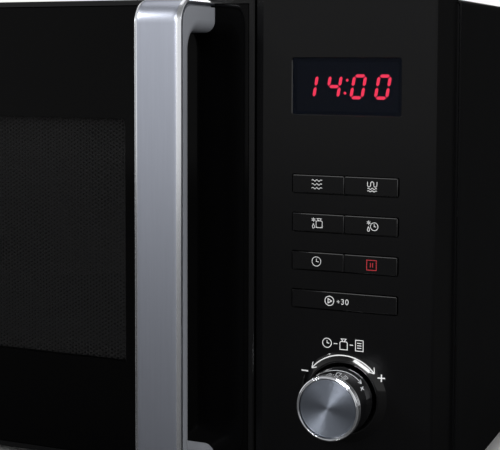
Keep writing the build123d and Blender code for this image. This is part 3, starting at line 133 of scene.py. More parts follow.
class Graph:
    """The node tree of one material, or of a world."""

    def __init__(self, name: str, world: bpy.types.World | None = None) -> None:
        """Start a material with one Principled shader, or take over the tree of a world.

        Args:
            name: The material's name.
            world: The world that is taken over instead.
        """
        self.material = None if world else bpy.data.materials.new(name)
        owner = world or self.material
        owner.use_nodes = True
        self.tree = owner.node_tree
        self.shader = self.tree.nodes["Background" if world else "Principled BSDF"]

    def add(
        self,
        kind: str,
        settings: Mapping[str, object] | None = None,
        inputs: Mapping[int | str, object] | None = None,
        result: int | str = 0,
    ) -> Value:
        """Add one node.

        Args:
            kind: The node's type.
            settings: Its properties, set first.
            inputs: A value or a link for each named or numbered socket.
            result: The output to return.

        Returns:
            That output.
        """
        node = self.tree.nodes.new(kind)
        for key, value in (settings or {}).items():
            setattr(node, key, value)
        for key, value in (inputs or {}).items():
            self.feed(node.inputs[key], value)
        return Value(self, node.outputs[result])

    def feed(self, socket: bpy.types.NodeSocket, value: object) -> None:
        """Link a value to a socket, or set the socket's own number or colour.

        Args:
            socket: The socket.
            value: The value to link, or what the socket is to hold.
        """
        if isinstance(value, Value):
            self.tree.links.new(value.socket, socket)
        else:
            socket.default_value = value

    def set(self, **inputs: object) -> None:
        """Feed the Principled shader.

        Args:
            **inputs: A value or a link for each input. base_color stands for Base Color.
        """
        for key, value in inputs.items():
            label = " ".join(word.upper() if word == "ior" else word.capitalize() for word in key.split("_"))
            self.feed(self.shader.inputs[label], value)

    def place(self, centre: Sequence[float] = (0, 0, 0), stretch: Sequence[float] = (1, 1, 1)) -> Value:
        """Object coordinates, centred on a point and then stretched.

        Args:
            centre: The point that becomes the origin, in metres.
            stretch: Factor along each axis.

        Returns:
            The coordinates as a vector.
        """
        coordinates = self.add("ShaderNodeTexCoord", result="Object")
        shift = [-c * s for c, s in zip(centre, stretch)]
        return self.add("ShaderNodeMapping", {}, {"Vector": coordinates, "Location": shift, "Scale": stretch})

    def axes(self, vector: Value) -> tuple[Value, Value, Value]:
        """Take a vector apart.

        Args:
            vector: The vector.

        Returns:
            Its x, y and z.
        """
        first = self.add("ShaderNodeSeparateXYZ", {}, {0: vector})
        node = first.socket.node
        return first, Value(self, node.outputs[1]), Value(self, node.outputs[2])

    def noise(self, vector: Value, size: float, detail: float = 2.0, rough: float = 0.5) -> Value:
        """Soft noise from 0 to 1 whose features are about one size, in metres."""
        inputs = {"Vector": vector, "Scale": 1.0 / size, "Detail": detail, "Roughness": rough}
        return self.add("ShaderNodeTexNoise", {}, inputs, "Fac")

    def mix(self, factor: object, first: object, second: object) -> Value:
        """Blend two colours."""
        settings = {"data_type": "RGBA", "clamp_factor": True}
        return self.add("ShaderNodeMix", settings, {0: factor, 6: first, 7: second}, 2)

    def bump(self, height: Value, depth: float, strength: float = 1.0) -> Value:
        """A normal from a height field.

        Args:
            height: Height from 0 to 1.
            depth: What a height of 1 measures, in metres.
            strength: Share of the effect that is kept.

        Returns:
            The bent normal.
        """
        return self.add("ShaderNodeBump", {}, {"Strength": strength, "Distance": depth, "Height": height})


def rgba(colour: Colour, factor: float = 1.0) -> tuple[float, float, float, float]:
    """A colour as a socket takes it, scaled by a factor."""
    return (colour[0] * factor, colour[1] * factor, colour[2] * factor, 1.0)


# ---------------------------------------------------------------- finishes


@dataclass(frozen=True)
class Finish:
    """What every finish has: its name, its colour and how rough it is."""

    name: str
    colour: Colour
    roughness: float

    def material(self) -> bpy.types.Material:
        """Build the material.

        Returns:
            The material, with the detail of this kind of finish.
        """
        graph = Graph(self.name)
        graph.set(base_color=rgba(self.colour), roughness=self.roughness)
        self.dress(graph)
        return graph.material

    def dress(self, graph: Graph) -> None:
        """Add the detail of this kind of finish."""
        raise NotImplementedError

    def shades(self, graph: Graph, tone: Value, dark: float, light: float) -> Value:
        """The colour times dark where the tone is 0, and times light where it is 1."""
        return graph.mix(tone, rgba(self.colour, dark), rgba(self.colour, light))

    def worn(self, tone: Value, swing: float) -> Value:
        """The roughness, which swings about its level as the tone goes from 0 to 1."""
        return self.roughness + (tone - 0.5) * swing


@dataclass(frozen=True)
class Moulded(Finish):
    """Injection-moulded plastic: a fine spark-eroded grain and slight flow shading."""

    grain: float = 0.35 * MM
    depth: float = 0.006 * MM
    shade: float = 0.12
    ior: float = 1.45
    coat: float = 0.0

    def dress(self, graph: Graph) -> None:
        """Grain in the normal, slow flow shading in the colour, light scuffing in the roughness.

        Args:
            graph: The material's graph.
        """
        place = graph.place()
        flow = graph.noise(place, 40 * MM, 3.0)
        grain = graph.noise(place, self.grain, 3.0, 0.6)
        scuff = graph.noise(place, 9 * MM, 5.0, 0.65)
        graph.set(
            base_color=self.shades(graph, flow, 1 - self.shade, 1 + self.shade),
            roughness=self.worn(scuff, 0.25 * self.roughness),
            ior=self.ior,
            coat_weight=self.coat,
            coat_roughness=0.04,
            normal=graph.bump(grain, self.depth),
        )


@dataclass(frozen=True)
class Painted(Finish):
    """Baked paint or enamel on sheet steel: orange peel, with small flecks where asked."""

    peel: float = 1.2 * MM
    depth: float = 0.01 * MM
    fleck: Colour = (0.0, 0.0, 0.0)
    fleck_share: float = 0.0
    ior: float = 1.45

    def dress(self, graph: Graph) -> None:
        """Two sizes of peel in the normal and a sprinkle of flecks in the colour.

        Args:
            graph: The material's graph.
        """
        place = graph.place()
        peel = graph.noise(place, self.peel, 2.0)
        fine = graph.noise(place, self.peel / 5, 2.0)
        cloud = graph.noise(place, 60 * MM, 2.0)
        base = self.shades(graph, cloud, 0.93, 1.07)
        if self.fleck_share:
            grit = graph.noise(place, 0.55 * MM, 1.0)
            base = graph.mix(grit.above(1 - self.fleck_share, 0.03), base, rgba(self.fleck))
        graph.set(
            base_color=base,
            roughness=self.worn(cloud, 0.08),
            ior=self.ior,
            normal=graph.bump(peel * 0.7 + fine * 0.3, self.depth),
        )


class Lay(Enum):
    """The axis along which a brush or a rolling mill leaves its lines."""

    ACROSS = (0.02, 1.0, 1.0)
    DEEP = (1.0, 0.02, 1.0)
    UPRIGHT = (1.0, 1.0, 0.02)


@dataclass(frozen=True)
class Brushed(Finish):
    """Drawn metal: fine parallel lines along one axis."""

    lay: Lay = Lay.UPRIGHT
    line: float = 0.16 * MM
    depth: float = 0.002 * MM

    def dress(self, graph: Graph) -> None:
        """Noise stretched along the lay, in the colour, the roughness and the normal.

        Args:
            graph: The material's graph.
        """
        place = graph.place(stretch=self.lay.value)
        lines = graph.noise(place, self.line, 4.0, 0.7)
        broad = graph.noise(place, 6 * self.line, 2.0)
        tone = lines * 0.6 + broad * 0.4
        graph.set(
            metallic=1.0,
            base_color=self.shades(graph, tone, 0.86, 1.1),
            roughness=self.worn(lines, 0.12),
            normal=graph.bump(lines, self.depth),
        )


@dataclass(frozen=True)
class Spun(Finish):
    """Metal turned on a lathe: rings round an axis that runs front to back."""

    centre: tuple[float, float, float] = (0.0, 0.0, 0.0)
    pitch: float = 0.11 * MM
    depth: float = 0.0015 * MM

    def dress(self, graph: Graph) -> None:
        """Distance from the axis drives fine rings in the colour and the normal.

        Args:
            graph: The material's graph.
        """
        across, _, up = graph.axes(graph.place(centre=self.centre))
        radius = (across * across + up * up).power(0.5)
        rings = (radius * (math.tau / self.pitch)).sine() * 0.5 + 0.5
        wander = graph.noise(graph.add("ShaderNodeCombineXYZ", {}, {0: radius}), 0.3 * MM, 4.0, 0.7)
        graph.set(
            metallic=1.0,
            base_color=self.shades(graph, wander, 0.9, 1.1),
            roughness=self.worn(wander, 0.1),
            normal=graph.bump(rings * 0.5 + wander * 0.5, self.depth),
        )


@dataclass(frozen=True)
class Plated(Finish):
    """A bright plated metal whose polish and tone wander a little."""

    wander: float = 0.03

    def dress(self, graph: Graph) -> None:
        """Cloud the roughness and the colour; the metal is the same all over.

        Args:
            graph: The material's graph.
        """
        cloud = graph.noise(graph.place(), 9 * MM, 3.0)
        graph.set(
            metallic=1.0,
            base_color=self.shades(graph, cloud, 0.94, 1.06),
            roughness=self.worn(cloud, self.wander),
        )


@dataclass(frozen=True)
class Galvanised(Finish):
    """Zinc-coated sheet: soft-edged crystals, each of its own shade."""

    crystal: float = 5.5 * MM

    def dress(self, graph: Graph) -> None:
        """Cells of zinc in the colour and the roughness, with fine rolling marks.

        Args:
            graph: The material's graph.
        """
        place = graph.place()
        warp = graph.noise(place, 4 * MM, 2.0)
        cells = graph.add(
            "ShaderNodeTexVoronoi", {"feature": "F1"}, {"Vector": place, "Scale": 1 / self.crystal}, "Color"
        )
        shade = graph.add("ShaderNodeSeparateColor", {}, {0: cells})
        tone = shade * 0.75 + warp * 0.25
        graph.set(
            metallic=0.72,
            base_color=self.shades(graph, tone, 0.86, 1.1),
            roughness=self.worn(tone, 0.12),
            normal=graph.bump(warp, 0.004 * MM),
        )


@dataclass(frozen=True)
class ClearGlass(Finish):
    """Toughened glass: see-through, with a faint tint and finger haze."""

    alpha: float = 0.25
    ior: float = 1.45

    def dress(self, graph: Graph) -> None:
        """Slight haze in the roughness and slow waves in the surface.

        Args:
            graph: The material's graph.
        """
        place = graph.place()
        haze = graph.noise(place, 25 * MM, 4.0, 0.6)
        wave = graph.noise(place, 30 * MM, 1.0)
        graph.set(
            base_color=self.shades(graph, haze, 0.95, 1.05),
            roughness=self.roughness + haze * 0.05,
            ior=self.ior,
            alpha=self.alpha + (haze - 0.5) * 0.04,
            normal=graph.bump(wave, 0.02 * MM),
        )


@dataclass(frozen=True)
class BackPrintedGlass(Finish):
    """Glass that is printed black on its back all round one clear window."""

    low: tuple[float, float] = (0.0, 0.0)
    high: tuple[float, float] = (0.0, 0.0)
    tint: float = 0.5
    ior: float = 1.25
    edge: float = 0.25 * MM

    def dress(self, graph: Graph) -> None:
        """Inside the window the glass lets light through; outside it the print stops it.

        Args:
            graph: The material's graph.
        """
        place = graph.place()
        across, _, up = graph.axes(place)
        inside = (
            across.above(self.low[0], self.edge)
            * (1 - across.above(self.high[0], self.edge))
            * up.above(self.low[1], self.edge)
            * (1 - up.above(self.high[1], self.edge))
        )
        haze = graph.noise(place, 30 * MM, 4.0, 0.6)
        wave = graph.noise(place, 60 * MM, 1.0)
        graph.set(
            base_color=self.shades(graph, haze, 0.9, 1.1),
            roughness=self.roughness + haze * 0.03,
            ior=self.ior,
            alpha=1 - inside * (1 - self.tint),
            normal=graph.bump(wave, 0.01 * MM),
        )


@dataclass(frozen=True)
class Ink(Finish):
    """Screen-printed ink: slightly uneven cover."""

    def dress(self, graph: Graph) -> None:
        """Fine mottling in the colour and the normal.

        Args:
            graph: The material's graph.
        """
        mottle = graph.noise(graph.place(), 0.25 * MM, 3.0)
        graph.set(
            base_color=self.shades(graph, mottle, 0.86, 1.04),
            normal=graph.bump(mottle, 0.003 * MM),
        )


@dataclass(frozen=True)
class Glowing(Finish):
    """A lit or unlit window of a light-emitting display."""

    light: Colour = (1.0, 0.0, 0.0)
    strength: float = 1.0

    def dress(self, graph: Graph) -> None:
        """The die in the middle of each window makes its light a little uneven.

        Args:
            graph: The material's graph.
        """
        cloud = graph.noise(graph.place(), 1.6 * MM, 2.0)
        graph.set(
            emission_color=graph.mix(cloud, rgba(self.light, 0.85), rgba(self.light, 1.0)),
            emission_strength=self.strength,
        )


@dataclass(frozen=True)
class Layered(Finish):
    """Stacked sheets or wound wire: regular lines along one axis."""

    axis: int = 0
    pitch: float = 0.5 * MM
    metallic: float = 1.0

    def dress(self, graph: Graph) -> None:
        """A sine across the layers, broken up by noise.

        Args:
            graph: The material's graph.
        """
        place = graph.place()
        layers = (graph.axes(place)[self.axis] * (math.tau / self.pitch)).sine() * 0.5 + 0.5
        stain = graph.noise(place, 6 * MM, 4.0, 0.6)
        graph.set(
            metallic=self.metallic,
            base_color=self.shades(graph, layers * 0.6 + stain * 0.4, 0.6, 1.15),
            roughness=self.worn(stain, 0.2),
            normal=graph.bump(layers, 0.08 * MM),
        )


@dataclass(frozen=True)
class Laminate(Finish):
    """Circuit board: solder mask over faint copper tracks, with tinned pads."""

    track: Colour = (0.16, 0.36, 0.15)
    pad: Colour = (0.6, 0.6, 0.58)
    cell: float = 5 * MM
    pad_pitch: float = 2.54 * MM

    def dress(self, graph: Graph) -> None:
        """Cells give the tracks their edges, and a fine grid gives the pads.

        Args:
            graph: The material's graph.
        """
        place = graph.place()
        cells = {"Vector": place, "Scale": 1 / self.cell}
        edge = graph.add("ShaderNodeTexVoronoi", {"feature": "DISTANCE_TO_EDGE"}, cells, "Distance")
        across, _, up = graph.axes(place)
        step = math.pi / self.pad_pitch
        dots = (across * step).sine().magnitude() * (up * step).sine().magnitude()
        masked = graph.mix(edge.above(0.09, 0.02), rgba(self.track), rgba(self.colour))
        graph.set(
            base_color=graph.mix(dots.above(0.93, 0.03), masked, rgba(self.pad)),
            normal=graph.bump(edge, 0.03 * MM),
        )


@dataclass(frozen=True)
class Mineral(Finish):
    """Pressed mica or glazed ceramic: cloudy flakes."""

    flake: float = 3 * MM
    spread: float = 0.25

    def dress(self, graph: Graph) -> None:
        """Flakes in the colour, the roughness and the normal.

        Args:
            graph: The material's graph.
        """
        place = graph.place()
        flakes = graph.noise(place, self.flake, 6.0, 0.7)
        graph.set(
            base_color=self.shades(graph, flakes, 1 - self.spread, 1 + self.spread),
            roughness=self.worn(flakes, 0.3),
            normal=graph.bump(flakes, 0.03 * MM),
        )


# ---------------------------------------------------------------- surfaces


class Shell:
    """Collects patches of surface and makes them into one closed mesh piece."""

    def __init__(self) -> None:
        """Start with no patches."""
        self.points: list[np.ndarray] = []
        self.faces: list[list[int]] = []
        self.count = 0

    def _take(self, points: np.ndarray) -> np.ndarray:
        """Store points.

        Args:
            points: An array of any layout whose last axis is x, y and z.

        Returns:
            Their indices in the same layout.
        """
        rows = points.reshape(-1, 3)
        indices = np.arange(len(rows)).reshape(points.shape[:-1]) + self.count
        self.points.append(rows)
        self.count += len(rows)
        return indices

    def sheet(self, points: np.ndarray, wrap_rows: bool = False, wrap_columns: bool = False) -> None:
        """Add quads over a grid of points.

        Args:
            points: Array of rows by columns by 3. Many grids go in as rows by grids by columns by 3.
            wrap_rows: Join the last row to the first.
            wrap_columns: Join the last column to the first.
        """
        ids = self._take(points)
        if wrap_rows:
            ids = np.concatenate([ids, ids[:1]])
        if wrap_columns:
            ids = np.concatenate([ids, ids[..., :1]], axis=-1)
        corners = [ids[:-1, ..., :-1], ids[1:, ..., :-1], ids[1:, ..., 1:], ids[:-1, ..., 1:]]
        self.faces.extend(np.stack(corners, axis=-1).reshape(-1, 4).tolist())

    def plate(self, rim: np.ndarray) -> None:
        """Add one flat face inside a closed rim of points."""
        self.faces.append(self._take(rim).tolist())

    def bar(self, points: np.ndarray, ring: bool = False) -> None:
        """Add a closed bar: a tube whose rows are its sections, with both ends filled.

        Args:
            points: Array of sections by points by 3.
            ring: Join the last section to the first, which leaves no ends.
        """
        self.sheet(points, wrap_rows=ring, wrap_columns=True)
        if not ring:
            self.plate(points[0])
            self.plate(points[-1])

    def piece(self, name: str, material: bpy.types.Material, angle: float) -> bpy.types.Object:
        """Make the mesh piece.

        Args:
            name: The piece's name.
            material: Its finish.
            angle: Faces that meet at less than this angle, in degrees, are shaded smooth.

        Returns:
            The object, at the origin.
        """
        mesh = bpy.data.meshes.new(name)
        mesh.from_pydata(np.vstack(self.points).tolist(), [], self.faces)
        work = bmesh.new()
        work.from_mesh(mesh)
        bmesh.ops.remove_doubles(work, verts=work.verts, dist=1e-7)
        bmesh.ops.recalc_face_normals(work, faces=work.faces)
        work.to_mesh(mesh)
        work.free()
        mesh.materials.append(material)
        mesh.shade_smooth()
        mesh.set_sharp_from_angle(angle=math.radians(angle))
        result = bpy.data.objects.new(name, mesh)
        bpy.context.scene.collection.objects.link(result)
        return result


def arc_points(centre: Sequence[float], radius: float, start: float, end: float, count: int) -> np.ndarray:
    """Points on a circle: centre + radius * (cos, sin) of angles from start to end, in degrees."""
    angle = np.radians(np.linspace(start, end, count))
    return np.column_stack([centre[0] + radius * np.cos(angle), centre[1] + radius * np.sin(angle)])


def turned(profile: np.ndarray, centre: Sequence[float], axis: int, count: int) -> np.ndarray:
    """A profile turned round an axis.

    Each profile point (radius, place along the axis) goes once round the axis: the other two
    coordinates are radius * cos and radius * sin of the angle.

    Args:
        profile: Rows of radius and place along the axis, in metres.
        centre: A point of the axis, in metres.
        axis: 1 for an axis along Y, 2 for one along Z.
        count: Steps in the turn.

    Returns:
        Grid of profile points by steps by 3.
    """
    angle = np.linspace(0, math.tau, count, endpoint=False)
    radius, along = profile[:, :1], profile[:, 1:]
    first, second = radius * np.cos(angle), radius * np.sin(angle)
    along = np.broadcast_to(along, first.shape)
    if axis == 1:
        return np.stack([centre[0] + first, along, centre[2] + second], axis=-1)
    return np.stack([centre[0] + first, centre[1] + second, along], axis=-1)


def rounded(corners: Sequence[Sequence[float]], radii: Sequence[float], steps: int = 6) -> np.ndarray:
    """An open profile whose inner corners are rounded with quadratic curves.

    At a corner C with radius r the profile leaves its side r before C and follows
    (1-t)^2 A + 2t(1-t) C + t^2 B to the point B that is r beyond it.

    Args:
        corners: The profile's corners.
        radii: How far before each inner corner its curve starts.
        steps: Points in each curve.

    Returns:
        The profile's points.
    """
    corner = np.array(corners, float)
    rows = [corner[:1]]
    t = np.linspace(0, 1, steps)[:, None]
    for before, here, after, radius in zip(corner[:-2], corner[1:-1], corner[2:], radii):
        if radius <= 0:
            rows.append(here[None])
            continue
        start = here + (before - here) / np.linalg.norm(before - here) * radius
        end = here + (after - here) / np.linalg.norm(after - here) * radius
        rows.append((1 - t) ** 2 * start + 2 * t * (1 - t) * here + t**2 * end)
    rows.append(corner[-1:])
    return np.vstack(rows)


def carried(section: np.ndarray, path: np.ndarray, inward: np.ndarray, left: float) -> np.ndarray:
    """A section carried along an upright path that runs front to back and up.

    At each point of the path a section point (x, d) goes to left + x across and to path + d * inward.

    Args:
        section: Rows of x and d.
        path: Rows of depth and height.
        inward: Unit vectors square to the path, one for each of its points.
        left: Where the section's x = 0 lies.

    Returns:
        Grid of path points by section points by 3.
    """
    across = np.broadcast_to(left + section[:, 0], (len(path), len(section)))
    depth_and_height = path[:, None, :] + inward[:, None, :] * section[None, :, 1:]
    return np.concatenate([across[..., None], depth_and_height], axis=2)


def upright(drawn: np.ndarray, depth: float) -> np.ndarray:
    """Points (x, z) of an array of any layout, stood upright as (x, depth, z)."""
    return np.stack([drawn[..., 0], np.full(drawn.shape[:-1], depth), drawn[..., 1]], axis=-1)


def framed(
    low: Sequence[float], high: Sequence[float], corner: float, rows: Sequence[tuple[float, float]]
) -> np.ndarray:
    """A narrow band round an upright rectangle with rounded corners.

    Args:
        low: The rectangle's least x and z.
        high: Its greatest x and z.
        corner: How far before each corner its curve starts.
        rows: The band's section: how far outside the rectangle, and the depth.

    Returns:
        Grid of section points by places round the rectangle by 3.
    """
    grid = []
    for out, depth in rows:
        x0, z0, x1, z1 = low[0] - out, low[1] - out, high[0] + out, high[1] + out
        middle = ((x0 + x1) / 2, z0)
        corners = [middle, (x1, z0), (x1, z1), (x0, z1), (x0, z0), middle]
        grid.append(upright(rounded(corners, [corner + out] * 4, 5)[:-1], depth))
    return np.array(grid)


# ---------------------------------------------------------------- printed marks


@dataclass(frozen=True)
class Stroke:
    """One line of a mark, in the mark's own units, or a filled outline."""

    points: np.ndarray
    closed: bool = False
    filled: bool = False
    width: float = 1.0


def line(*points: Sequence[float], closed: bool = False, width: float = 1.0) -> Stroke:
    """A stroke through points."""
    return Stroke(np.array(points, float), closed, False, width)


def circle(centre: Sequence[float], radius: float, count: int = 30) -> Stroke:
    """A stroke along a circle."""
    return Stroke(arc_points(centre, radius, 0, 360, count + 1)[:-1], closed=True)


def wave(left: float, right: float, level: float, height: float, turns: float) -> Stroke:
    """A stroke that follows level + height * sin(tau * turns * u), with u from 0 to 1."""
    u = np.linspace(0, 1, 37)
    return Stroke(np.column_stack([left + (right - left) * u, level + height * np.sin(math.tau * turns * u)]))


def fill(*points: Sequence[float]) -> Stroke:
    """A filled outline."""
    return Stroke(np.array(points, float), True, True)


class Mark(Enum):
    """The marks on the panel, each drawn in a square from -1 to 1."""

    WAVES = "waves"
    GRILL = "grill"
    THAW_WEIGHT = "thaw by weight"
    THAW_TIME = "thaw by time"
    CLOCK = "clock"
    PAUSE = "pause"
    PLAY = "play"
    WEIGHT = "weight"
    LIST = "list"
    PLUS = "plus"
    MINUS = "minus"
    THREE = "three"
    ZERO = "zero"


def clock_face(centre: Sequence[float], radius: float) -> list[Stroke]:
    """A round face with two hands.

    Args:
        centre: The face's middle.
        radius: Its radius.

    Returns:
        The strokes.
    """
    x, y = centre
    hands = line((x, y + 0.62 * radius), (x, y), (x + 0.5 * radius, y - 0.05 * radius))
    return [circle(centre, radius), hands]


def flake_and_drop() -> list[Stroke]:
    """A six-armed flake above a hanging drop, on the left of a mark.

    The drop is (cos a * p^0.6, sin a), where the pinch p = (1 - sin a) / 2 draws it to a point.

    Returns:
        The strokes.
    """
    arms = [Stroke(arc_points((-0.62, 0.6), 0.4, turn, turn + 180, 2)) for turn in (90, 210, 330)]
    angle = np.radians(np.linspace(90, 450, 25))[:-1]
    pinch = 0.5 - 0.5 * np.sin(angle)
    drop = np.column_stack([-0.64 + 0.28 * np.cos(angle) * pinch**0.6, -0.56 + 0.42 * np.sin(angle)])
    return [*arms, Stroke(drop, closed=True)]


def weight_body(centre: Sequence[float], size: float) -> list[Stroke]:
    """A scale weight: a block with sloped shoulders under a knob.

    Args:
        centre: The weight's middle.
        size: Half its height.

    Returns:
        The strokes.
    """
    block = np.array([(-0.72, -1), (0.72, -1), (0.72, 0.32), (0.5, 0.5), (-0.5, 0.5), (-0.72, 0.32)])
    knob = np.array([(-0.18, 0.56), (-0.2, 0.66), (-0.5, 1), (0.5, 1), (0.2, 0.66), (0.18, 0.56)])
    middle = np.array(centre)
    return [Stroke(middle + size * block, closed=True), Stroke(middle + size * knob)]


def strokes_of(mark: Mark) -> list[Stroke]:
    """The strokes of one mark.

    Args:
        mark: The mark.

    Returns:
        Its strokes, in a square from -1 to 1.
    """
    if mark is Mark.WAVES:
        return [wave(-1, 1, level, 0.14, 2.5) for level in (0.72, 0.0, -0.72)]
    if mark is Mark.GRILL:
        loops = np.vstack([
            [(-0.9, 0.9)],
            arc_points((-0.6, 0.27), 0.3, 180, 360, 9),
            arc_points((0.0, 0.62), 0.3, 180, 0, 9),
            arc_points((0.6, 0.27), 0.3, 180, 360, 9),
            [(0.9, 0.9)],
        ])
        return [Stroke(loops), wave(-0.9, 0.9, -0.38, 0.11, 2.5), wave(-0.9, 0.9, -0.82, 0.11, 2.5)]
    if mark is Mark.THAW_WEIGHT:
        return flake_and_drop() + weight_body((0.5, 0.0), 0.84)
    if mark is Mark.THAW_TIME:
        return flake_and_drop() + clock_face((0.46, -0.08), 0.72)
    if mark is Mark.CLOCK:
        return clock_face((0, 0), 0.87)
    if mark is Mark.PAUSE:
        side = 0.92
        square = line((-side, -side), (side, -side), (side, side), (-side, side), closed=True, width=1.2)
        return [square] + [line((x, -0.42), (x, 0.42), width=1.3) for x in (-0.22, 0.22)]
    if mark is Mark.PLAY:
        return [circle((0, 0), 0.87), line((-0.26, -0.42), (0.48, 0.0), (-0.26, 0.42), closed=True)]
    if mark is Mark.WEIGHT:
        return weight_body((0, 0), 1.0)
    if mark is Mark.LIST:
        paper = line((-0.74, -1), (0.74, -1), (0.74, 1), (-0.74, 1), closed=True)
        return [paper] + [line((-0.42, y), (0.42, y)) for y in (0.45, 0.0, -0.45)]
    if mark is Mark.PLUS:
        return [line((-1, 0), (1, 0)), line((0, -1), (0, 0), (0, 1))]
    if mark is Mark.MINUS:
        return [line((-1, 0), (1, 0))]
    if mark is Mark.THREE:
        upper = arc_points((-0.05, 0.5), 0.48, 150, -90, 14)
        lower = arc_points((-0.05, -0.5), 0.5, 90, -150, 14)
        return [Stroke(np.vstack([upper, lower[1:]]))]
    angle = np.radians(np.linspace(0, 360, 29))[:-1]
    return [Stroke(np.column_stack([0.55 * np.cos(angle), np.sin(angle)]), closed=True)]


def ribbon(stroke: Stroke, width: float) -> np.ndarray:
    """The two edges of a line of even width.

    Each edge lies half a width from the line along its normal, and further at a corner, by one over
    the cosine of half the turn, so that the width stays even.

    Args:
        stroke: The line.
        width: Its width, in the stroke's own units.

    Returns:
        Grid of 2 edges by points by 2.
    """
    points = stroke.points
    if stroke.closed:
        ahead = np.roll(points, -1, 0) - points
        behind = points - np.roll(points, 1, 0)
    else:
        step = np.diff(points, axis=0)
        ahead = np.vstack([step, step[-1:]])
        behind = np.vstack([step[:1], step])
    ahead = ahead / np.linalg.norm(ahead, axis=1, keepdims=True)
    behind = behind / np.linalg.norm(behind, axis=1, keepdims=True)
    tangent = ahead + behind
    tangent = tangent / np.maximum(np.linalg.norm(tangent, axis=1, keepdims=True), 1e-9)
    cosine = np.clip((tangent * ahead).sum(1, keepdims=True), 0.5, 1)
    normal = np.column_stack([-tangent[:, 1], tangent[:, 0]]) / cosine
    half = 0.5 * width * stroke.width
    return np.stack([points + normal * half, points - normal * half])


Depth = Callable[[np.ndarray, np.ndarray], np.ndarray]


def flat(level: float) -> Depth:
    """A flat surface at a depth."""
    return lambda x, z: np.full(np.shape(x), level)


@dataclass(frozen=True)
class PlacedMark:
    """A mark in its place, in mm: right of and above a middle, half its size and its line's width."""

    mark: Mark
    right: float = 0.0
    above: float = 0.0
    size: float = 2.9
    width: float = 0.42


class Print:
    """Marks printed on an upright surface, each stroke a thin closed film of ink."""

    thickness: float = 0.03 * MM

    def __init__(self, depth: Depth) -> None:
        """Keep the surface: depth(x, z) is where it lies along Y."""
        self.depth = depth
        self.shell = Shell()

    def _sides(self, drawn: np.ndarray) -> tuple[np.ndarray, np.ndarray]:
        """Lay drawn points on the surface.

        Args:
            drawn: An array of any layout whose last axis is x and z.

        Returns:
            The points on the back and on the front of the ink, in the same layout.
        """
        x, z = drawn[..., 0], drawn[..., 1]
        back = self.depth(x, z)
        return np.stack([x, back, z], axis=-1), np.stack([x, back - self.thickness, z], axis=-1)

    def draw(self, strokes: Sequence[Stroke], centre: Sequence[float], size: float, width: float) -> None:
        """Draw strokes.

        Args:
            strokes: Lines in a square from -1 to 1.
            centre: Where the square's middle goes, as x and z in metres.
            size: Half the square's side, in metres.
            width: Line width, in metres.
        """
        for stroke in strokes:
            if stroke.filled:
                self.shell.bar(np.stack(self._sides(stroke.points * size + np.array(centre))))
                continue
            back, front = self._sides(ribbon(stroke, width / size) * size + np.array(centre))
            self.shell.bar(np.stack([back[0], front[0], front[1], back[1]], axis=1), ring=stroke.closed)

    def marks(self, placed: Sequence[PlacedMark], middle: Sequence[float]) -> None:
        """Draw marks round a middle.

        Args:
            placed: The marks.
            middle: The point that their places count from, as x and z in metres.
        """
        for one in placed:
            centre = (middle[0] + one.right * MM, middle[1] + one.above * MM)
            self.draw(strokes_of(one.mark), centre, one.size * MM, one.width * MM)


# ---------------------------------------------------------------- dressing


class Assembly:
    """What every sub-assembly does: dress its solids and hang its new pieces on their bodies."""

    materials: ClassVar[dict[str, bpy.types.Material]] = {}

    def build(self) -> None:
        """Build and dress the sub-assembly."""
        raise NotImplementedError

    def finish(self, finish: Finish) -> bpy.types.Material:
        """Make the material of a finish, once.

        Args:
            finish: The finish.

        Returns:
            Its material.
        """
        if finish.name not in self.materials:
            self.materials[finish.name] = finish.material()
        return self.materials[finish.name]

    def dress(self, finish: Finish, *nodes: str) -> None:
        """Give solids a finish.

        Args:
            finish: The finish.
            *nodes: The solids.
        """
        material = self.finish(finish)
        for name in nodes:
            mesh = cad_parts[name].data
            mesh.materials.clear()
            mesh.materials.append(material)
            LOG.info("dressed %s with %s", name, finish.name)

    def add(
        self,
        name: str,
        shell: Shell,
        finish: Finish,
        body: str,
        slot: str,
        *replaced: str,
        angle: float = 35.0,
    ) -> None:
        """Make a new piece and let it move with a body.

        Args:
            name: The piece's name.
            shell: Its surface.
            finish: Its finish.
            body: The body that carries it.
            slot: Not used.
            *replaced: Solids that it stands for.
            angle: Faces that meet at less than this angle, in degrees, are shaded smooth.
        """
        piece = shell.piece(name, self.finish(finish), angle)
        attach(piece, body)
        if replaced:
            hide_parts(*replaced)
        LOG.info("built %s on %s, %d faces", name, body, len(piece.data.polygons))


def low_high(node: str) -> tuple[np.ndarray, np.ndarray]:
    """The lowest and the highest corner of a solid."""
    low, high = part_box(node)
    return np.array(low), np.array(high)


def front_of(node: str) -> float:
    """The depth at which a solid starts."""
    return low_high(node)[0][1]


def middle_of(node: str) -> np.ndarray:
    """The middle of a solid's front, as x and z."""
    low, high = low_high(node)
    return ((low + high) / 2)[[0, 2]]


CASE_BLACK = Painted("case black", (0.0035, 0.0036, 0.004), 0.4, peel=0.8 * MM, depth=0.012 * MM, ior=1.2)
OVEN_GREY = Painted("oven grey", (0.34, 0.34, 0.33), 0.4, fleck=(0.12, 0.12, 0.12), fleck_share=0.36)
ZINC = Galvanised("zinc sheet", (0.55, 0.56, 0.57), 0.36)
STEEL = Brushed("plated steel", (0.6, 0.6, 0.59), 0.28, lay=Lay.ACROSS)
FOOT_RUBBER = Moulded("foot rubber", (0.018, 0.018, 0.018), 0.75, grain=0.5 * MM, depth=0.02 * MM)
DARK_PLASTIC = Moulded("dark plastic", (0.02, 0.02, 0.022), 0.45)
ALUMINISED = Brushed("aluminised sheet", (0.66, 0.67, 0.68), 0.33, lay=Lay.DEEP)
MICA = Mineral("mica", (0.42, 0.36, 0.27), 0.45)
CERAMIC = Mineral("ceramic", (0.72, 0.7, 0.65), 0.5, flake=1.2 * MM, spread=0.06)
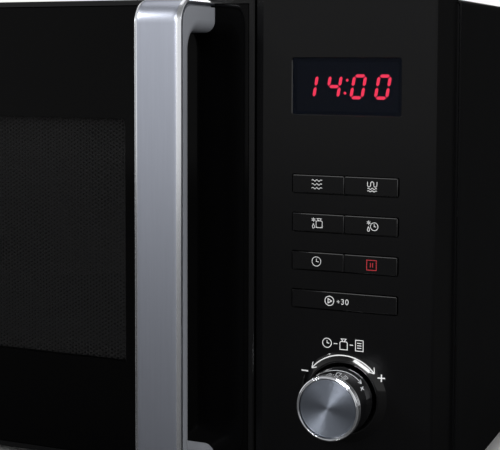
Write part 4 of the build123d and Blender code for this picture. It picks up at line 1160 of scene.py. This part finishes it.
COPPER = Brushed("copper", (0.72, 0.4, 0.25), 0.3, lay=Lay.ACROSS)
WINDING = Layered("enamelled wire", (0.5, 0.22, 0.08), 0.32, axis=2, pitch=0.9 * MM)
LAMINATION = Layered("laminated steel", (0.33, 0.33, 0.34), 0.42, axis=0, pitch=0.5 * MM)
BOARD = Laminate("circuit board", (0.03, 0.13, 0.045), 0.35)
HEATER = Mineral("heater sheath", (0.13, 0.115, 0.105), 0.42, flake=7 * MM, spread=0.4)
WHITE_PLASTIC = Moulded("white plastic", (0.72, 0.72, 0.69), 0.4, shade=0.04)
WHITE_INK = Ink("white ink", (0.86, 0.86, 0.86), 0.5)
RED_INK = Ink("red ink", (0.5, 0.025, 0.035), 0.5)


class Cabinet(Assembly):
    """The case, its feet and screws, the cooking cavity and what fills the component bay."""

    coats: ClassVar[Mapping[Finish, str]] = {
        CASE_BLACK: "outer_case front_frame",
        ZINC: "rear_panel base_plate hinge_brackets fan_motor turntable_motor magnetron_yoke",
        OVEN_GREY: "cavity_left_wall cavity_right_wall cavity_ceiling cavity_floor cavity_back_wall",
        FOOT_RUBBER: "feet",
        DARK_PLASTIC: "cord_gland latch_bracket door_switches fan_shroud encoder fan_rotor",
        ALUMINISED: "waveguide capacitor",
        MICA: "waveguide_cover",
        CERAMIC: "lamp",
        COPPER: "magnetron_core",
        WINDING: "transformer_windings",
        LAMINATION: "transformer_core",
        BOARD: "filter_board control_board",
        HEATER: "grill_element",
        STEEL: "case_screws",
    }

    def build(self) -> None:
        """Dress every solid of the cabinet."""
        for finish, nodes in self.coats.items():
            self.dress(finish, *nodes.split())


class Turntable(Assembly):
    """The glass plate with its coupler, and the ring of wheels that it turns on."""

    def build(self) -> None:
        """Dress the plate, the coupler, the ring and its wheels."""
        self.dress(WHITE_PLASTIC, "coupler", "roller_1", "roller_2", "roller_3")
        self.dress(Moulded("ring plastic", (0.05, 0.05, 0.05), 0.5), "roller_ring")
        self.dress(ClearGlass("plate glass", (0.72, 0.8, 0.78), 0.04, alpha=0.3), "turntable_plate")


@dataclass
class Door(Assembly):
    """The door: moulded frame, back-printed glass, perforated screen, choke and inner cover."""

    pitch: float = 2.36 * MM
    hole: float = 0.78 * MM
    lap: float = 2.0 * MM
    border_lap: float = 1.0 * MM
    window_lap: float = 9.0 * MM
    border_proud: float = 0.02 * MM

    def build(self) -> None:
        """Dress the door's solids and punch the screen."""
        low, high = low_high("door_screen")
        inset = np.array([self.window_lap, 0, self.window_lap])
        self.low, self.high = low + inset, high - inset
        gloss = Moulded("gloss black", (0.003, 0.003, 0.0033), 0.3, depth=0.001 * MM, ior=1.3)
        self.dress(gloss, "door_frame")
        window = {"low": tuple(self.low[[0, 2]]), "high": tuple(self.high[[0, 2]])}
        glass = BackPrintedGlass("door glass", (0.0012, 0.0012, 0.0013), 0.04, ior=1.15, tint=0.35, **window)
        self.dress(glass, "door_glass")
        self.dress(OVEN_GREY, "choke_frame")
        self.dress(DARK_PLASTIC, "inner_cover", "latch_hooks")
        self.dress(ClearGlass("inner pane", (0.6, 0.62, 0.62), 0.05, alpha=0.22), "inner_pane")
        self.punch_screen(low, high)

    def cells(self, low: np.ndarray, high: np.ndarray) -> np.ndarray:
        """Middles of the holes: columns half a pitch out of step, root 3 / 2 of a pitch apart.

        Args:
            low: Lowest corner of the punched field.
            high: Its highest corner.

        Returns:
            Rows of x and z.
        """
        step = self.pitch * math.sqrt(3) / 2
        columns = int((high[0] - low[0]) / step)
        rows = int((high[2] - low[2]) / self.pitch)
        i, j = np.meshgrid(np.arange(columns), np.arange(rows))
        middle = (low + high) / 2
        x = middle[0] + (i - (columns - 1) / 2) * step
        z = middle[2] + (j - (rows - 1) / 2 + 0.5 * (i % 2) - 0.25) * self.pitch
        return np.column_stack([x.ravel(), z.ravel()])

    def punch_screen(self, low: np.ndarray, high: np.ndarray) -> None:
        """Build the perforated screen as two halves with a plain border.

        Every hole has six sides and stands in a six-sided cell of the sheet; the cells fill the
        plane. Each side gives a face in front, one behind and one through the hole.

        Args:
            low: The screen's lowest corner.
            high: Its highest corner.
        """
        black = Painted("screen black", (0.04, 0.04, 0.041), 0.42, depth=0.004 * MM)
        lap = np.array([self.lap, 0, self.lap])
        cells = self.cells(self.low - lap, self.high + lap)
        turn = np.radians(np.arange(6) * 60)
        around = np.column_stack([np.cos(turn), np.sin(turn)])
        front, back = low[1] + self.border_proud, high[1] - self.border_proud
        outer = self.pitch / math.sqrt(3)
        middle = (low[0] + high[0]) / 2
        for name, chosen in (("left", cells[:, 0] < middle), ("right", cells[:, 0] >= middle)):
            centre = cells[chosen][:, None, :]
            wide, hole = centre + around * outer, centre + around * self.hole
            layers = [(wide, front), (hole, front), (hole, back), (wide, back)]
            shell = Shell()
            shell.sheet(np.stack([upright(ring, depth) for ring, depth in layers]), wrap_columns=True)
            if name == "left":
                self.add_border(shell, low, high)
            self.add(f"door_screen_{name}", shell, black, "door", "screen_black", "door_screen", angle=20)

    def add_border(self, shell: Shell, low: np.ndarray, high: np.ndarray) -> None:
        """Add the screen's plain border: a flat frame that covers the outermost cells.

        Args:
            shell: The half of the screen that carries the border.
            low: The screen's lowest corner.
            high: Its highest corner.
        """
        rims = []
        for first, last in ((low, high), (self.low - self.border_lap, self.high + self.border_lap)):
            x0, z0, x1, z1 = first[0], first[2], last[0], last[2]
            rims.append(np.array([(x0, z0), (x1, z0), (x1, z1), (x0, z1)]))
        outer, inner = rims
        layers = [(outer, low[1]), (inner, low[1]), (inner, high[1]), (outer, high[1])]
        grid = np.stack([upright(rim, depth) for rim, depth in layers])
        shell.sheet(grid, wrap_rows=True, wrap_columns=True)


@dataclass
class Handle(Assembly):
    """The bar handle: a bent aluminium strap over a grey moulded liner."""

    thickness: float = 3.0 * MM
    bend: float = 13.5 * MM
    steps: int = 14
    chamfer: float = 1.8 * MM
    soft: float = 0.5 * MM
    crown: float = 0.22 * MM
    cut_skin: float = 0.02 * MM
    cut_start: float = 0.05 * MM
    cut_past: float = 0.7 * MM

    def build(self) -> None:
        """Bend the strap, polish its edges and dress the liner and the screws."""
        self.dress(Moulded("liner grey", (0.33, 0.345, 0.38), 0.42, grain=0.3 * MM), "handle_liner")
        self.dress(STEEL, "handle_screws")
        self.low, self.high = low_high("handle_strap")
        section = self.section()
        self.bend_strap(section)
        self.cut_edges(section)

    def section(self) -> np.ndarray:
        """The strap's section, from its left rear edge over the face to the right one.

        The face sinks towards its edges by crown * (2x / width - 1)^2.

        Returns:
            Rows of place across and depth, in metres.
        """
        width = self.high[0] - self.low[0]
        cut, soft = self.chamfer, self.soft
        side = rounded([(0, self.thickness), (0, cut), (cut, 0), (3 * cut, 0)], [soft, 4 * soft], 6)
        u = np.linspace(0, 1, 9)[1:-1]
        face = np.column_stack([3 * cut + (width - 6 * cut) * u, np.zeros(len(u))])
        section = np.vstack([side, face, side[::-1] * [-1, 1] + [width, 0]])
        in_front = section[:, 1] < self.thickness / 2
        section[:, 1] += self.crown * (2 * section[:, 0] / width - 1) ** 2 * in_front
        return section

    def along(self, section: np.ndarray) -> np.ndarray:
        """Carry a section along the strap: forwards, round a bend, up the bar and back to the door.

        Args:
            section: Rows of place across and depth.

        Returns:
            Grid of path points by section points by 3.
        """
        _, front, bottom = self.low
        _, back, top = self.high
        bend = self.bend
        lower = arc_points((front + bend, bottom + bend), bend, 270, 180, self.steps)
        upper = arc_points((front + bend, top - bend), bend, 180, 90, self.steps)
        path = np.vstack([[(back, bottom)], lower, upper, [(back, top)]])
        turn_in = arc_points((0, 0), 1.0, 90, 0, self.steps)
        turn_out = arc_points((0, 0), 1.0, 0, -90, self.steps)
        inward = np.vstack([[(0, 1)], turn_in, turn_out, [(0, -1)]])
        return carried(section, path, inward, self.low[0])

    def bend_strap(self, section: np.ndarray) -> None:
        """Build the strap.

        Args:
            section: The strap's section.
        """
        shell = Shell()
        shell.bar(self.along(section))
        brushed = Brushed("handle aluminium", (0.44, 0.465, 0.54), 0.36, lay=Lay.UPRIGHT)
        self.add("handle_bar", shell, brushed, "door", "handle_aluminium", "handle_strap", angle=24)

    def cut_edges(self, section: np.ndarray) -> None:
        """Lay a polished skin over the two sloped edges of the strap.

        Args:
            section: The strap's section.
        """
        shell = Shell()
        near = (section[:, 0] > self.cut_start) & (section[:, 0] < self.chamfer + self.cut_past)
        for rim, out in ((section[near], -1.0), (section[near[::-1]], 1.0)):
            skin = np.array([out, -1.0]) * self.cut_skin
            shell.bar(self.along(np.vstack([rim + skin, (rim - 4 * skin)[::-1]])))
        bright = Brushed("cut aluminium", (0.9, 0.92, 0.96), 0.22, lay=Lay.UPRIGHT)
        self.add("handle_cuts", shell, bright, "door", "handle_aluminium", angle=24)


@dataclass
class Display(Assembly):
    """The clock: a smoked lens over four seven-part digits and a colon."""

    height: float = 13.3 * MM
    width: float = 7.9 * MM
    pitch: float = 13.65 * MM
    stroke: float = 1.7 * MM
    shift: float = -0.6 * MM
    slant: float = math.tan(math.radians(10))
    gap: float = 0.36 * MM
    dot_radius: float = 0.75 * MM
    dot_rise: float = 0.26
    edge_out: float = 0.12 * MM
    edge_in: float = 0.35 * MM
    edge_corner: float = 1.5 * MM
    edge_sunk: float = 0.03 * MM
    lens_gap: float = 0.01 * MM
    reading: str = "1400"
    parts: Mapping[str, str] = field(default_factory=lambda: {"0": "abcdef", "1": "bc", "4": "bcfg"})

    def build(self) -> None:
        """Dress the lens and its module, set the digits just behind the lens and edge its opening."""
        smoked = ClearGlass("smoked lens", (0.002, 0.0035, 0.008), 0.03, alpha=0.62, ior=1.17)
        self.dress(smoked, "display_lens")
        self.dress(Moulded("module black", (0.006, 0.007, 0.012), 0.5), "display_module")
        self.light_digits()
        self.edge_opening()

    def light_digits(self) -> None:
        """Build the lit and the unlit windows of the digits, and the colon's two dots."""
        face = flat(front_of("display_module"))
        lit, unlit = Print(face), Print(face)
        x, z = middle_of("display_lens")
        x += self.shift
        for number, digit in enumerate(self.reading):
            place = (x + (number - 1.5) * self.pitch, z)
            for name, rim in self.windows(place).items():
                (lit if name in self.parts[digit] else unlit).draw([fill(*rim)], (0, 0), 1.0, 1.0)
        for side in (-1, 1):
            rise = side * self.dot_rise * self.height
            place = (x + rise * self.slant, z + rise)
            lit.draw([fill(*circle(place, self.dot_radius, 12).points)], (0, 0), 1.0, 1.0)
        red = Glowing("lit red", (0.05, 0.0, 0.0), 0.4, light=(1.0, 0.045, 0.11), strength=6.5)
        dark = Ink("unlit red", (0.02, 0.009, 0.012), 0.5)
        self.add("clock_digits_lit", lit.shell, red, "cabinet", "display_white")
        self.add("clock_digits_unlit", unlit.shell, dark, "cabinet", "display_white")

    def edge_opening(self) -> None:
        """Lay the sloped edge of the opening over the border of the lens."""
        low, high = low_high("display_lens")
        rows = [
            (self.edge_out, front_of("door_frame") + self.edge_sunk),
            (-self.edge_in, low[1] - self.edge_sunk),
            (self.edge_out, low[1] - self.lens_gap),
        ]
        shell = Shell()
        band = framed(low[[0, 2]], high[[0, 2]], self.edge_corner, rows)
        shell.sheet(band, wrap_rows=True, wrap_columns=True)
        gloss = Moulded("edge gloss", (0.003, 0.003, 0.0034), 0.2, depth=0.0005 * MM, coat=0.5)
        self.add("display_edge", shell, gloss, "cabinet", "panel_black")

    def windows(self, centre: Sequence[float]) -> dict[str, np.ndarray]:
        """Outlines of a digit's seven windows.

        Each window is a bar with pointed ends between two corners of the digit, and the whole digit
        leans: x grows by the slant times the height above the middle.

        Args:
            centre: The digit's middle, as x and z.

        Returns:
            The outline of each window, as rows of x and z.
        """
        half = self.stroke / 2
        x, z = self.width / 2 - half, self.height / 2 - half
        ends = {
            "a": ((-x, z), (x, z)), "b": ((x, z), (x, 0)), "c": ((x, 0), (x, -z)), "d": ((-x, -z), (x, -z)),
            "e": ((-x, 0), (-x, -z)), "f": ((-x, z), (-x, 0)), "g": ((-x, 0), (x, 0)),
        }
        rims = {}
        for name, (start, end) in ends.items():
            a, b = np.array(start), np.array(end)
            along = (b - a) / np.linalg.norm(b - a)
            across = np.array([-along[1], along[0]])
            a, b = a + along * self.gap, b - along * self.gap
            rim = np.array([
                a, a + along * half + across * half, b - along * half + across * half,
                b, b - along * half - across * half, a + along * half - across * half,
            ])
            rim[:, 0] += rim[:, 1] * self.slant
            rims[name] = rim + np.array(centre)
        return rims


# The marks' places, sizes and line widths are in millimetres.
FINE_LINE = 0.32
BUTTON_MARKS = {
    "micro": Mark.WAVES,
    "combi": Mark.GRILL,
    "defrost_weight": Mark.THAW_WEIGHT,
    "defrost_time": Mark.THAW_TIME,
    "clock": Mark.CLOCK,
    "stop": Mark.PAUSE,
}
START_MARKS = (
    PlacedMark(Mark.PLAY, -8.0),
    PlacedMark(Mark.PLUS, -2.9, -0.1, 0.85, 0.36),
    PlacedMark(Mark.THREE, -0.5, 0.0, 1.35, 0.38),
    PlacedMark(Mark.ZERO, 2.0, 0.0, 1.35, 0.38),
)
SCALE_MARKS = (
    PlacedMark(Mark.MINUS, -22.2, 12.55, 2.0, 0.7),
    PlacedMark(Mark.PLUS, 21.45, 12.8, 2.0, 0.7),
    PlacedMark(Mark.CLOCK, -9.5, 29.0),
    PlacedMark(Mark.WEIGHT, 0.0, 29.0),
    PlacedMark(Mark.LIST, 8.9, 29.0),
    PlacedMark(Mark.MINUS, -4.6, 29.0, 1.0),
    PlacedMark(Mark.MINUS, 4.4, 29.0, 1.0),
)


@dataclass
class Panel(Assembly):
    """The control panel with its seven push buttons and its printed marks."""

    edge_skin: float = 0.02 * MM
    edge_slope: float = 0.25 * MM
    edge_corner: float = 0.25 * MM
    arc_radius: float = 23.1 * MM
    arc_start: float = 41.0
    arc_end: float = 140.0
    arc_line: float = 0.55 * MM
    arrow_length: float = 3.3 * MM
    arrow_spread: float = 33.0
    arrow_line: float = 0.45 * MM
    collar_radius: float = 24.5 * MM
    collar_skin: float = 0.02 * MM
    collar_lap: float = 0.05 * MM
    collar_turn_in: float = 0.2 * MM
    collar_sunk: float = 0.4 * MM
    crest_radius: float = 20.3 * MM
    crest_sunk: float = 0.5 * MM
    cup_radius: float = 19.5 * MM
    cup_lining: float = 0.15 * MM
    cup_depth: float = 6.3 * MM

    def build(self) -> None:
        """Dress the panel and its buttons and print their marks."""
        gloss = Moulded("panel black", (0.0025, 0.0025, 0.0028), 0.24, depth=0.002 * MM, ior=1.25)
        self.dress(gloss, "control_panel")
        self.turn_collar()
        cap = Moulded("button black", (0.0026, 0.0026, 0.0029), 0.28, depth=0.002 * MM, ior=1.25)
        edge = Moulded("button edge", (0.003, 0.003, 0.0034), 0.2, depth=0.0005 * MM, ior=1.6, coat=1.0)
        for name, mark in BUTTON_MARKS.items():
            self.dress(cap, f"button_{name}")
            self.print_button(name, (PlacedMark(mark, width=FINE_LINE),))
        self.dress(cap, "button_start")
        for name in (*BUTTON_MARKS, "start"):
            self.edge_button(f"button_{name}", edge)
        self.print_button("start", START_MARKS)
        self.print_scale()

    def print_button(self, name: str, placed: Sequence[PlacedMark]) -> None:
        """Print the marks of one button on the flat face of its cap.

        Args:
            name: The button.
            placed: Its marks.
        """
        node = f"button_{name}"
        printed = Print(flat(front_of(node)))
        printed.marks(placed, middle_of(node))
        ink = RED_INK if placed[0].mark is Mark.PAUSE else WHITE_INK
        self.add(f"mark_{name}", printed.shell, ink, node, "button_black")

    def edge_button(self, node: str, finish: Finish) -> None:
        """Lay a polished skin over the sloped edge of a button's cap.

        Args:
            node: The button's node.
            finish: The skin's finish.
        """
        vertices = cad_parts[node].data.vertices
        points = np.empty(3 * len(vertices))
        vertices.foreach_get("co", points)
        points = points.reshape(-1, 3)
        front = points[:, 1].min()
        cap = points[points[:, 1] < front + 0.5 * self.edge_skin]
        skin, slope = self.edge_skin, self.edge_slope
        rows = [
            (0.0, front - skin),
            (slope + skin, front + slope),
            (slope, front + slope),
            (-skin, front + skin),
        ]
        shell = Shell()
        low, high = cap.min(axis=0)[[0, 2]], cap.max(axis=0)[[0, 2]]
        shell.sheet(framed(low, high, self.edge_corner, rows), wrap_rows=True, wrap_columns=True)
        self.add(f"edge_{node}", shell, finish, node, "button_black")

    def turn_collar(self) -> None:
        """Turn the polished skin of the collar round the knob and of the cup inside it."""
        low, high = low_high("knob_body")
        face, crest = front_of("door_frame"), front_of("control_panel")
        skin, inner = self.collar_skin, self.cup_radius - self.cup_lining
        outer, floor = inner + 2 * self.cup_lining, face + self.cup_depth
        corners = [
            (outer, floor),
            (inner, floor),
            (inner, crest - skin),
            (self.crest_radius, crest - skin),
            (self.collar_radius + self.collar_lap, face - skin),
            (self.collar_radius - self.collar_turn_in, face + self.collar_sunk),
            (self.crest_radius, crest + self.crest_sunk),
            (outer, crest + self.crest_sunk),
        ]
        profile = rounded(corners, [0.05 * MM, 0.25 * MM, 0.5 * MM, 0.01 * MM, 0, 0], 5)
        shell = Shell()
        shell.sheet(turned(profile, (low + high) / 2, 1, 144), wrap_rows=True, wrap_columns=True)
        gloss = Moulded("collar gloss", (0.002, 0.002, 0.0022), 0.12, depth=0.0005 * MM, ior=1.2, coat=0.6)
        self.add("knob_collar", shell, gloss, "cabinet", "panel_black", angle=30)

    def slope(self, x: np.ndarray, z: np.ndarray) -> np.ndarray:
        """The depth of the panel's face, and on the collar that of its slope up to the crest.

        Args:
            x: Places across.
            z: Places up.

        Returns:
            face - (face - crest) * rise, where the rise goes from 0 at the collar's foot to 1 at its
            crest, less the collar's skin where it rises.
        """
        face, crest = front_of("door_frame"), front_of("control_panel")
        radius = np.hypot(x - self.middle[0], z - self.middle[1])
        rise = (self.collar_radius - radius) / (self.collar_radius - self.crest_radius)
        return face - (face - crest) * np.clip(rise, 0, 1) - self.collar_skin * (rise > 0)

    def print_scale(self) -> None:
        """Print the knob's scale: an arc with two arrow heads, minus, plus and three marks."""
        self.middle = middle_of("knob_body")
        printed = Print(self.slope)
        arc = arc_points((0, 0), self.arc_radius, self.arc_start, self.arc_end, 60)
        printed.draw([Stroke(arc)], self.middle, 1.0, self.arc_line)
        u = np.linspace(0, 1, 12)[:, None]
        for angle, turn in ((self.arc_start, -1), (self.arc_end, 1)):
            tip = arc_points((0, 0), self.arc_radius, angle + turn, angle, 2)[0]
            heading = math.radians(angle + 90 * turn)
            for spread in (-self.arrow_spread, self.arrow_spread):
                away = heading + math.pi + math.radians(spread)
                end = self.arrow_length * np.array([math.cos(away), math.sin(away)])
                printed.draw([Stroke(tip + u * end)], self.middle, 1.0, self.arrow_line)
        printed.marks(SCALE_MARKS, self.middle)
        self.add("knob_scale", printed.shell, WHITE_INK, "cabinet", "panel_black")


@dataclass
class Knob(Assembly):
    """The turned knob: a bright body with a spun disc let into its face."""

    rim_fall: float = 0.5 * MM
    side_grooves: tuple[float, ...] = (1.6 * MM, 3.0 * MM)
    side_sink: float = 0.3 * MM
    disc_radius: float = 15.5 * MM
    disc_gap: float = 0.35 * MM
    disc_edge: float = 0.3 * MM
    disc_recess: float = 0.5 * MM
    disc_thickness: float = 1.5 * MM
    disc_floor: float = 0.02 * MM
    groove_radius: float = 16.4 * MM
    groove_half: float = 0.25 * MM
    groove_depth: float = 0.35 * MM
    lip: float = 0.15 * MM
    front_radius: float = 17.2 * MM
    skin: float = 2.0 * MM
    hollow: float = 5.5 * MM
    ring_pitch: float = 0.18 * MM
    ring_slope: float = 0.45
    steps: int = 128

    def build(self) -> None:
        """Turn the body and the disc."""
        low, high = low_high("knob_body")
        self.centre = (low + high) / 2
        self.front, self.back = low[1], high[1]
        self.base_radius = (high[0] - low[0]) / 2
        self.turn_body()
        self.turn_disc()
        self.dress(STEEL, "encoder_shaft")

    def turn_body(self) -> None:
        """Turn the body: seat of the disc, rim, grooved side, skirt edge and inside."""
        seat = self.front + self.disc_recess + self.disc_thickness
        wall = self.disc_radius + self.disc_gap
        rim = self.rim()
        roof = self.front + self.hollow
        corners = [
            (0.0, seat),
            (wall, seat),
            (wall, self.front),
            *rim,
            (self.base_radius, self.back),
            (self.base_radius - self.skin, self.back),
            (self.front_radius - self.skin, roof),
            (0.0, roof),
        ]
        softness = [0, 0.08 * MM] + [0.05 * MM] * len(rim) + [0.3 * MM, 0.2 * MM, 0]
        profile = rounded(corners, softness, 4)
        shell = Shell()
        shell.sheet(turned(profile, self.centre, 1, self.steps), wrap_columns=True)
        chrome = Plated("knob chrome", (0.84, 0.855, 0.89), 0.035, wander=0.02)
        self.add("knob_shell", shell, chrome, "knob", "knob_chrome", "knob_body", angle=28)

    def rim(self) -> list[tuple[float, float]]:
        """Corners of the rim: a shallow cone with one groove, then two grooves round the side.

        A groove has three corners, half a groove apart: its two edges and, between them, its bottom.

        Returns:
            Rows of radius and depth.
        """
        lip = self.disc_radius + self.disc_gap + self.lip
        fall = self.rim_fall / (self.front_radius - lip)
        taper = (self.base_radius - self.front_radius) / (self.back - self.front)
        groove = ((-self.groove_half, 0), (0.0, 1), (self.groove_half, 0))
        corners = [(lip, self.front)]
        for step, sunk in groove:
            radius = self.groove_radius + step
            corners.append((radius, self.front + (radius - lip) * fall + sunk * self.groove_depth))
        corners.append((self.front_radius, self.front + self.rim_fall))
        for place in self.side_grooves:
            for step, sunk in groove:
                along = place + step
                radius = self.front_radius + along * taper - sunk * self.side_sink
                corners.append((radius, self.front + along))
        return corners

    def turn_disc(self) -> None:
        """Turn the disc: its face carries fine rings whose slope wanders from ring to ring.

        A ring is two rows long, down one flank and up the next, each at the ring's slope. The
        golden section spreads the slopes evenly over the rings.
        """
        face = self.front + self.disc_recess
        last, floor = self.disc_radius - self.disc_edge, face + self.disc_thickness - self.disc_floor
        rows = int(last / (self.ring_pitch / 2))
        row = np.arange(rows + 1)
        radius = last * row / rows
        golden = (math.sqrt(5) - 1) / 2
        wander = 0.5 + 0.5 * (row * golden % 1)
        deep = 0.5 * self.ring_slope * self.ring_pitch
        height = deep * wander * (row % 2)
        edge = [(self.disc_radius, face + self.disc_edge), (self.disc_radius, floor), (0.0, floor)]
        profile = np.vstack([np.column_stack([radius, face + deep - height]), edge])
        shell = Shell()
        shell.sheet(turned(profile, self.centre, 1, self.steps), wrap_columns=True)
        spun = Spun("spun aluminium", (0.172, 0.191, 0.228), 0.33, centre=tuple(self.centre))
        self.add("knob_disc", shell, spun, "knob", "knob_aluminium", "knob_face", angle=15)


# ---------------------------------------------------------------- studio


@dataclass(frozen=True)
class Lamp:
    """A flat softbox that faces a point. One that isn't mirrored lights dull surfaces alone."""

    name: str
    place: tuple[float, float, float]
    target: tuple[float, float, float]
    size: tuple[float, float]
    power: float
    colour: Colour = (1.0, 1.0, 1.0)
    turn: float = 0.0
    mirrored: bool = True

    def build(self) -> None:
        """Hang the lamp, turned by some degrees about the line to its target."""
        data = bpy.data.lights.new(self.name, "AREA")
        data.shape = "RECTANGLE"
        data.size, data.size_y = self.size
        data.energy = self.power
        data.color = self.colour
        lamp = bpy.data.objects.new(self.name, data)
        lamp.location = self.place
        lamp.visible_glossy = self.mirrored
        aim = Vector(self.target) - Vector(self.place)
        turn = Matrix.Rotation(math.radians(self.turn), 3, "Z")
        lamp.rotation_euler = (aim.to_track_quat("-Z", "Y").to_matrix() @ turn).to_euler()
        bpy.context.scene.collection.objects.link(lamp)


COOL_WHITE = (0.93, 0.96, 1.0)
LAMPS = (
    Lamp("key softbox", (-1.1, -2.0, 1.15), (0.0, -0.1, 0.15), (0.9, 0.7), 4.0, COOL_WHITE, mirrored=False),
    Lamp("front lamp", (0.33, -1.75, 0.83), (0.19, -0.16, 0.08), (0.7, 0.14), 11.0, turn=-31.0),
    Lamp("high lamp", (-1.2, -1.15, 1.2), (-0.04, -0.2, 0.25), (0.7, 0.2), 14.0),
    Lamp("side softbox", (1.5, -0.85, 0.55), (0.1, -0.2, 0.15), (1.2, 0.8), 8.0, mirrored=False),
    Lamp("overhead softbox", (-0.2, 0.3, 2.1), (0.0, 0.0, 0.1), (1.8, 1.6), 8.0),
    Lamp("rear softbox", (-0.7, 2.3, 1.2), (0.0, 0.0, 0.15), (1.4, 1.0), 8.0),
)


@dataclass
class Studio:
    """Floor, world, lamps and camera."""

    floor_radius: float = 3.0
    ambient: float = 0.38
    mirrored: float = 0.75
    floor_mirrored: float = 0.12
    floor_shade: float = 0.02
    floor_front: float = -0.2
    floor_front_softness: float = 0.15
    floor_fade: float = 0.72
    floor_fade_softness: float = 0.25
    flag_towards: tuple[float, float] = (0.25, 1.0)
    flag_edge: float = 0.75
    flag_softness: float = 0.1
    flag_depth: float = 0.97
    ceiling_edge: float = 0.4
    ceiling_softness: float = 0.2
    ceiling_depth: float = 0.7
    camera_place: tuple[float, float, float] = (0.4144, -0.7922, 0.2476)
    camera_turn: float = 23.77
    camera_dip: float = 3.847
    camera_roll: float = 0.155
    lens: float = 91.05
    shift: float = -0.162

    def build(self) -> None:
        """Lay the floor, light the room and stand the camera."""
        self.lay_floor()
        self.light_room()
        for lamp in LAMPS:
            lamp.build()
        self.stand_camera()
        bpy.context.scene.view_settings.view_transform = "Standard"

    @staticmethod
    def seen(graph: Graph, mirrored: Operand) -> Value:
        """Tell rays apart by where they come from.

        Args:
            graph: The graph that asks.
            mirrored: What mirrored rays get.

        Returns:
            1 for rays of the camera and through glass, what mirrored rays get for those, and else 0.
        """
        path = graph.add("ShaderNodeLightPath", result="Is Camera Ray")
        through = Value(graph, path.socket.node.outputs["Is Transmission Ray"])
        mirror = Value(graph, path.socket.node.outputs["Is Glossy Ray"])
        return path + through + mirror * mirrored

    def lay_floor(self) -> None:
        """A pale round floor that fades into the background at its rim."""
        graph = Graph("pale floor")
        place = graph.place()
        across, along, _ = graph.axes(place)
        radius = (across * across + along * along).power(0.5)
        grain = graph.noise(place, 12 * MM, 3.0)
        pale = graph.mix(grain, (0.8, 0.8, 0.8, 1), (0.84, 0.84, 0.84, 1))
        shade = (self.floor_shade, self.floor_shade, self.floor_shade, 1)
        front = 1 - along.above(self.floor_front, self.floor_front_softness)
        fade = radius.above(self.floor_fade * self.floor_radius, self.floor_fade_softness * self.floor_radius)
        graph.set(
            base_color=graph.mix(self.seen(graph, front * self.floor_mirrored), shade, pale),
            roughness=0.9,
            ior=1.2,
            alpha=1 - fade,
        )
        shell = Shell()
        profile = np.column_stack([np.linspace(0, self.floor_radius, 12), np.zeros(12)])
        shell.sheet(turned(profile, (0, 0, 0), 2, 64), wrap_columns=True)
        floor = shell.piece("floor", graph.material, 35.0)

    def light_room(self) -> None:
        """White to the camera and through glass, nearly so in mirrors, soft for everything else.

        Mirrored rays also meet a dark flag behind the oven on the right and a darker ceiling.
        """
        world = bpy.data.worlds.new("studio")
        bpy.context.scene.world = world
        graph = Graph("studio", world)
        across, along, up = graph.axes(graph.place())
        length = math.hypot(*self.flag_towards)
        facing = (across * self.flag_towards[0] + along * self.flag_towards[1]) / length
        flagged = facing.above(self.flag_edge, self.flag_softness) * self.flag_depth
        ceiling = up.above(self.ceiling_edge, self.ceiling_softness) * self.ceiling_depth
        diffuse = graph.add("ShaderNodeLightPath", result="Is Diffuse Ray")
        graph.feed(graph.shader.inputs["Color"], (1.0, 1.0, 1.0, 1))
        level = self.seen(graph, (1 - flagged) * (1 - ceiling) * self.mirrored) + diffuse * self.ambient
        graph.feed(graph.shader.inputs["Strength"], level)

    def stand_camera(self) -> None:
        """Stand the camera in front of the oven's right half, a little above its middle."""
        data = bpy.data.cameras.new("camera")
        data.lens = self.lens
        data.sensor_width = 36.0
        data.shift_y = self.shift
        data.clip_start = 0.01
        camera = bpy.data.objects.new("camera", data)
        camera.location = self.camera_place
        turn = Matrix.Rotation(math.radians(self.camera_turn), 3, "Z")
        dip = Matrix.Rotation(math.radians(90 - self.camera_dip), 3, "X")
        roll = Matrix.Rotation(math.radians(self.camera_roll), 3, "Z")
        camera.rotation_euler = (turn @ dip @ roll).to_euler()
        bpy.context.scene.collection.objects.link(camera)
        bpy.context.scene.camera = camera


def main() -> None:
    """Build and dress every sub-assembly."""
    logging.basicConfig(level=logging.INFO, format="%(name)s: %(message)s")
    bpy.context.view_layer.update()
    assemblies: list[Assembly] = [Cabinet(), Turntable(), Door(), Handle(), Display(), Panel(), Knob()]
    for assembly in assemblies:
        LOG.info("building %s", type(assembly).__name__)
        assembly.build()
    Studio().build()


if __name__ == "__main__":
    main()
